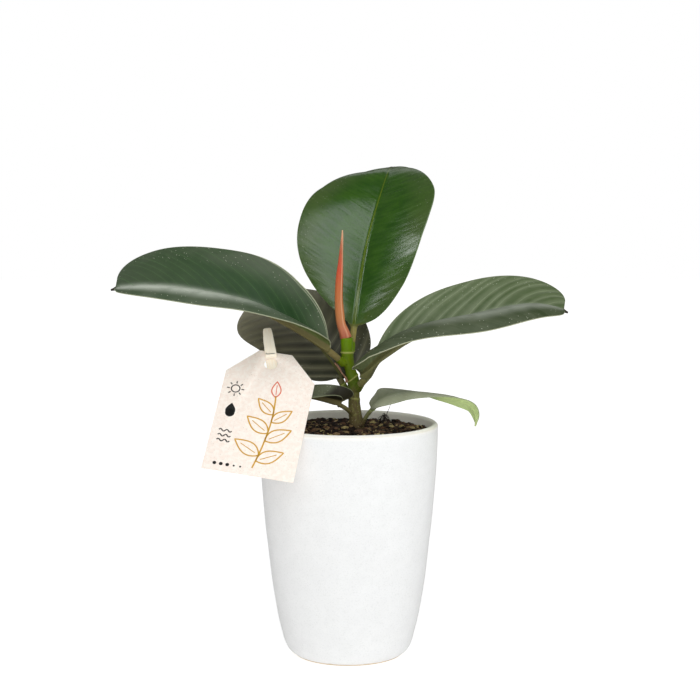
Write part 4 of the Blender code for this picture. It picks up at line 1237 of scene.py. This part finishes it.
def sign_shapes():
    """A sun, a drop, waves and a row of dots."""
    x, z = SUN
    shapes = [stroke(circle(SUN, 3.0), 0.8)]
    for a in circle_angles(8):
        shapes.append(stroke([(x + r * math.cos(a), z + r * math.sin(a)) for r in (4.2, 5.2, 6.2)], 0.8))
    shapes.append(slab(leaf_outline(DROP, 90, 11.0, 7.0)[:-1], *INK_DEPTHS))
    shapes.append(slab(circle((DROP[0], DROP[1] + 2.8), 3.3)[:-1], *INK_DEPTHS))
    for z in WAVE_HEIGHTS:
        wave = [(WAVE_START + 9 * k / 12, z + 0.9 * math.sin(k * math.pi / 3)) for k in range(13)]
        shapes.append(stroke(wave, 0.9))
    for x, radius in DOTS:
        shapes.append(slab(circle((x, DOT_HEIGHT), radius)[:-1], *INK_DEPTHS))
    return shapes


def make_print():
    """A plain printed sprig with a bud, and a column of small care signs."""
    prints = (("print_ochre", sprig_shapes(), OCHRE), ("print_coral", bud_shapes(), CORAL),
              ("print_black", sign_shapes(), BLACK))
    for name, shapes, colour in prints:
        ink = add_piece("tag_" + name, *gather(shapes), ink_look(name, colour), smooth=False,
                        place=tag_matrix())
        join_body(ink)


def leg_profile(side):
    """Inner and outer face of one leg as (along, through) points; side -1 is the front leg, 1 the back."""
    face = PEG_FRONT_FACE if side < 0 else PEG_BACK_FACE
    drop = PEG_BACK_DROP if side > 0 else 0.0
    splay = face + side * math.tan(math.radians(PEG_SPREAD)) * (PEG_LENGTH - PEG_PIVOT - 2.5)
    open_angle = math.acos(abs(face) / PEG_GROOVE)
    groove = [(PEG_PIVOT + PEG_GROOVE * math.sin(a), side * PEG_GROOVE * math.cos(a))
              for a in np.linspace(-open_angle, open_angle, 15)]
    inner = [(-drop, face)] + groove + [(PEG_LENGTH, splay)]
    outer = [(-drop, face + side * PEG_LEG * 0.5), (2.0 - drop, face + side * PEG_LEG * 0.85),
             (PEG_PIVOT - 3.0, face + side * PEG_LEG), (PEG_PIVOT + 3.0, face + side * (PEG_LEG + 0.6)),
             (PEG_LENGTH - 1.2, splay + side * PEG_LEG * 0.9), (PEG_LENGTH, splay + side * PEG_LEG * 0.55)]
    return inner, outer


def leg_rings(side):
    """Cross-sections of one leg from its jaw to its handle, with eased corners."""
    inner, outer = leg_profile(side)
    foot = inner[0][0]
    corners = {z for z, _ in inner + outer + list(PEG_WIDE) if foot <= z <= PEG_LENGTH}
    ends = (np.linspace(foot, foot + 0.5, 3), np.linspace(PEG_LENGTH - 2.5, PEG_LENGTH, 7))
    rings = []
    for z in sorted(corners.union(*ends)):
        near, far, width = (lookup(pairs, z) for pairs in (inner, outer, PEG_WIDE))
        half = width / 2
        ease = PEG_EASE * min(1.0, abs(far - near) / 2)
        out = math.copysign(ease, far - near)
        right = [(half - ease, near), (half - ease * 0.3, near + out * 0.3), (half, near + out),
                 (half, far - out), (half - ease * 0.3, far - out * 0.3), (half - ease, far)]
        left = [(-x, y) for x, y in right[::-1]]
        rings.append(np.array([(x, y, z - PEG_PIVOT) for x, y in left[-1:] + right + left[:-1]]))
    return rings


def wire(path):
    """Points and faces of a wire along a path in any direction, without a twist."""
    first = unit(np.cross(unit(np.gradient(path, axis=0))[0], (0.3, 0.5, 0.8)))
    return join_rings(tube_rings(path, [WIRE_RADIUS] * len(path), WIRE_SIDES, first=first))


def arm_path(side):
    """The wire's arm from the end of the coil, over its leg's outer face; side is as for the leg."""
    x = side * COIL_REACH
    outer = side * (abs(PEG_FRONT_FACE) + PEG_LEG * 0.9)
    path = [(x, side * COIL_RADIUS * 0.9, -0.6), (x, side * (COIL_RADIUS + 0.5), -3.0),
            (x, outer * 0.85, -7.0), (x * 0.86, outer, -8.9), (0.0, outer, -9.1), (-x * 0.8, outer, -9.1)]
    return smooth_path(path, np.linspace(0, 1, ARM_POINTS))


def coil_path():
    """The wire's coil, along the pivot."""
    t = np.linspace(0, 1, COIL_POINTS)
    angle = 2 * math.pi * COIL_TURNS * t
    return np.stack([COIL_REACH * (2 * t - 1), COIL_RADIUS * np.cos(angle), COIL_RADIUS * np.sin(angle)], 1)


def make_peg():
    """Two birch legs, a coil of wire between them and the wire's two arms."""
    wood, steel = wood_look(), wire_look()
    place = peg_matrix()
    ends = (("front", -1, PEG_FRONT), ("back", 1, PLANT))
    for end, side, body in ends:
        leg = add_piece(f"peg_leg_{end}_wood", *join_rings(leg_rings(side)), wood, place=place)
        leg.data.set_sharp_from_angle(angle=math.radians(50))
        join_body(leg, body, ["peg_leg_" + end])
    join_body(add_piece("peg_coil", *wire(coil_path()), steel, place=place), PLANT, ["peg_spring"])
    for end, side, body in ends:
        join_body(add_piece("peg_arm_" + end, *wire(arm_path(side)), steel, place=place), body)


# Stage, light and camera

def make_camera():
    """The photograph's camera."""
    data = bpy.data.cameras.new("camera")
    data.sensor_width = SENSOR
    data.lens = CAMERA_FOCAL / PHOTO_WIDTH * SENSOR
    camera = show(bpy.data.objects.new("camera", data))
    camera.location = Vector(CAMERA_PLACE) * MM
    camera.rotation_euler = (math.radians(90 - CAMERA_PITCH), 0.0, 0.0)
    bpy.context.scene.camera = camera


def add_softbox(name, azimuth, elevation, distance, size, spin, radiance, in_gloss):
    """A rectangular soft light that faces the plant; radiance is how bright its surface is."""
    data = bpy.data.lights.new(name, "AREA")
    data.shape = "RECTANGLE"
    data.size, data.size_y = size
    data.energy = radiance * math.pi * size[0] * size[1]
    data.color = LIGHT_TINT
    light = show(bpy.data.objects.new(name, data))
    az, el = math.radians(azimuth), math.radians(elevation)
    away = Vector((math.sin(az) * math.cos(el), -math.cos(az) * math.cos(el), math.sin(el)))
    light.location = LIGHT_AIM + distance * away
    aim = (LIGHT_AIM - light.location).to_track_quat("-Z", "Y").to_matrix()
    light.rotation_euler = (aim @ Matrix.Rotation(math.radians(spin), 3, "Z")).to_euler()
    light.visible_camera = False
    light.visible_glossy = in_gloss


def make_background():
    """A white background that lights the plant only a little."""
    world = bpy.data.worlds.new("studio")
    world.use_nodes = True
    tree = world.node_tree
    soft = tree.nodes["Background"]
    soft.inputs[0].default_value = (1.0, 0.99, 0.97, 1.0)
    soft.inputs[1].default_value = ROOM_GLOW
    white = tree.nodes.new("ShaderNodeBackground")
    white.inputs[0].default_value = (1.0, 1.0, 1.0, 1.0)
    seen = tree.nodes.new("ShaderNodeLightPath").outputs["Is Camera Ray"]
    pick = tree.nodes.new("ShaderNodeMixShader")
    for i, output in enumerate((seen, soft.outputs[0], white.outputs[0])):
        tree.links.new(output, pick.inputs[i])
    tree.links.new(pick.outputs[0], tree.nodes["World Output"].inputs[0])
    bpy.context.scene.world = world


def make_stage():
    """A wide white floor, soft lights and the background."""
    rings = tube_rings([(0, 0, z) for z in FLOOR_LEVELS], [FLOOR_RADIUS] * 2, FLOOR_SIDES)
    floor = add_piece("floor", *join_rings(rings), stage_look(), smooth=False)
    floor.visible_glossy = False
    for light in SOFTBOXES:
        add_softbox(*light)
    make_background()
    bpy.context.scene.view_settings.view_transform = "Standard"


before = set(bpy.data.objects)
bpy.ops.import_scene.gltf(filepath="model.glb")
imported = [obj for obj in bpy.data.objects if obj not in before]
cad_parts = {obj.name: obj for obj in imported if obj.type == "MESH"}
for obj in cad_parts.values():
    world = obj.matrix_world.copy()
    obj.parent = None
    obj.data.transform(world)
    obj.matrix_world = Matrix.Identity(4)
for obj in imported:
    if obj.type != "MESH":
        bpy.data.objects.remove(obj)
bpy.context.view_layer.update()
make_camera()
make_stage()
make_pot()
make_soil()
make_crumbs()
make_rootlets()
make_stem()
for leaf_name, leaf_row in LEAVES.items():
    make_leaf(leaf_name, leaf_row)
make_sheath()
make_strip()
make_tag()
make_print()
make_peg()
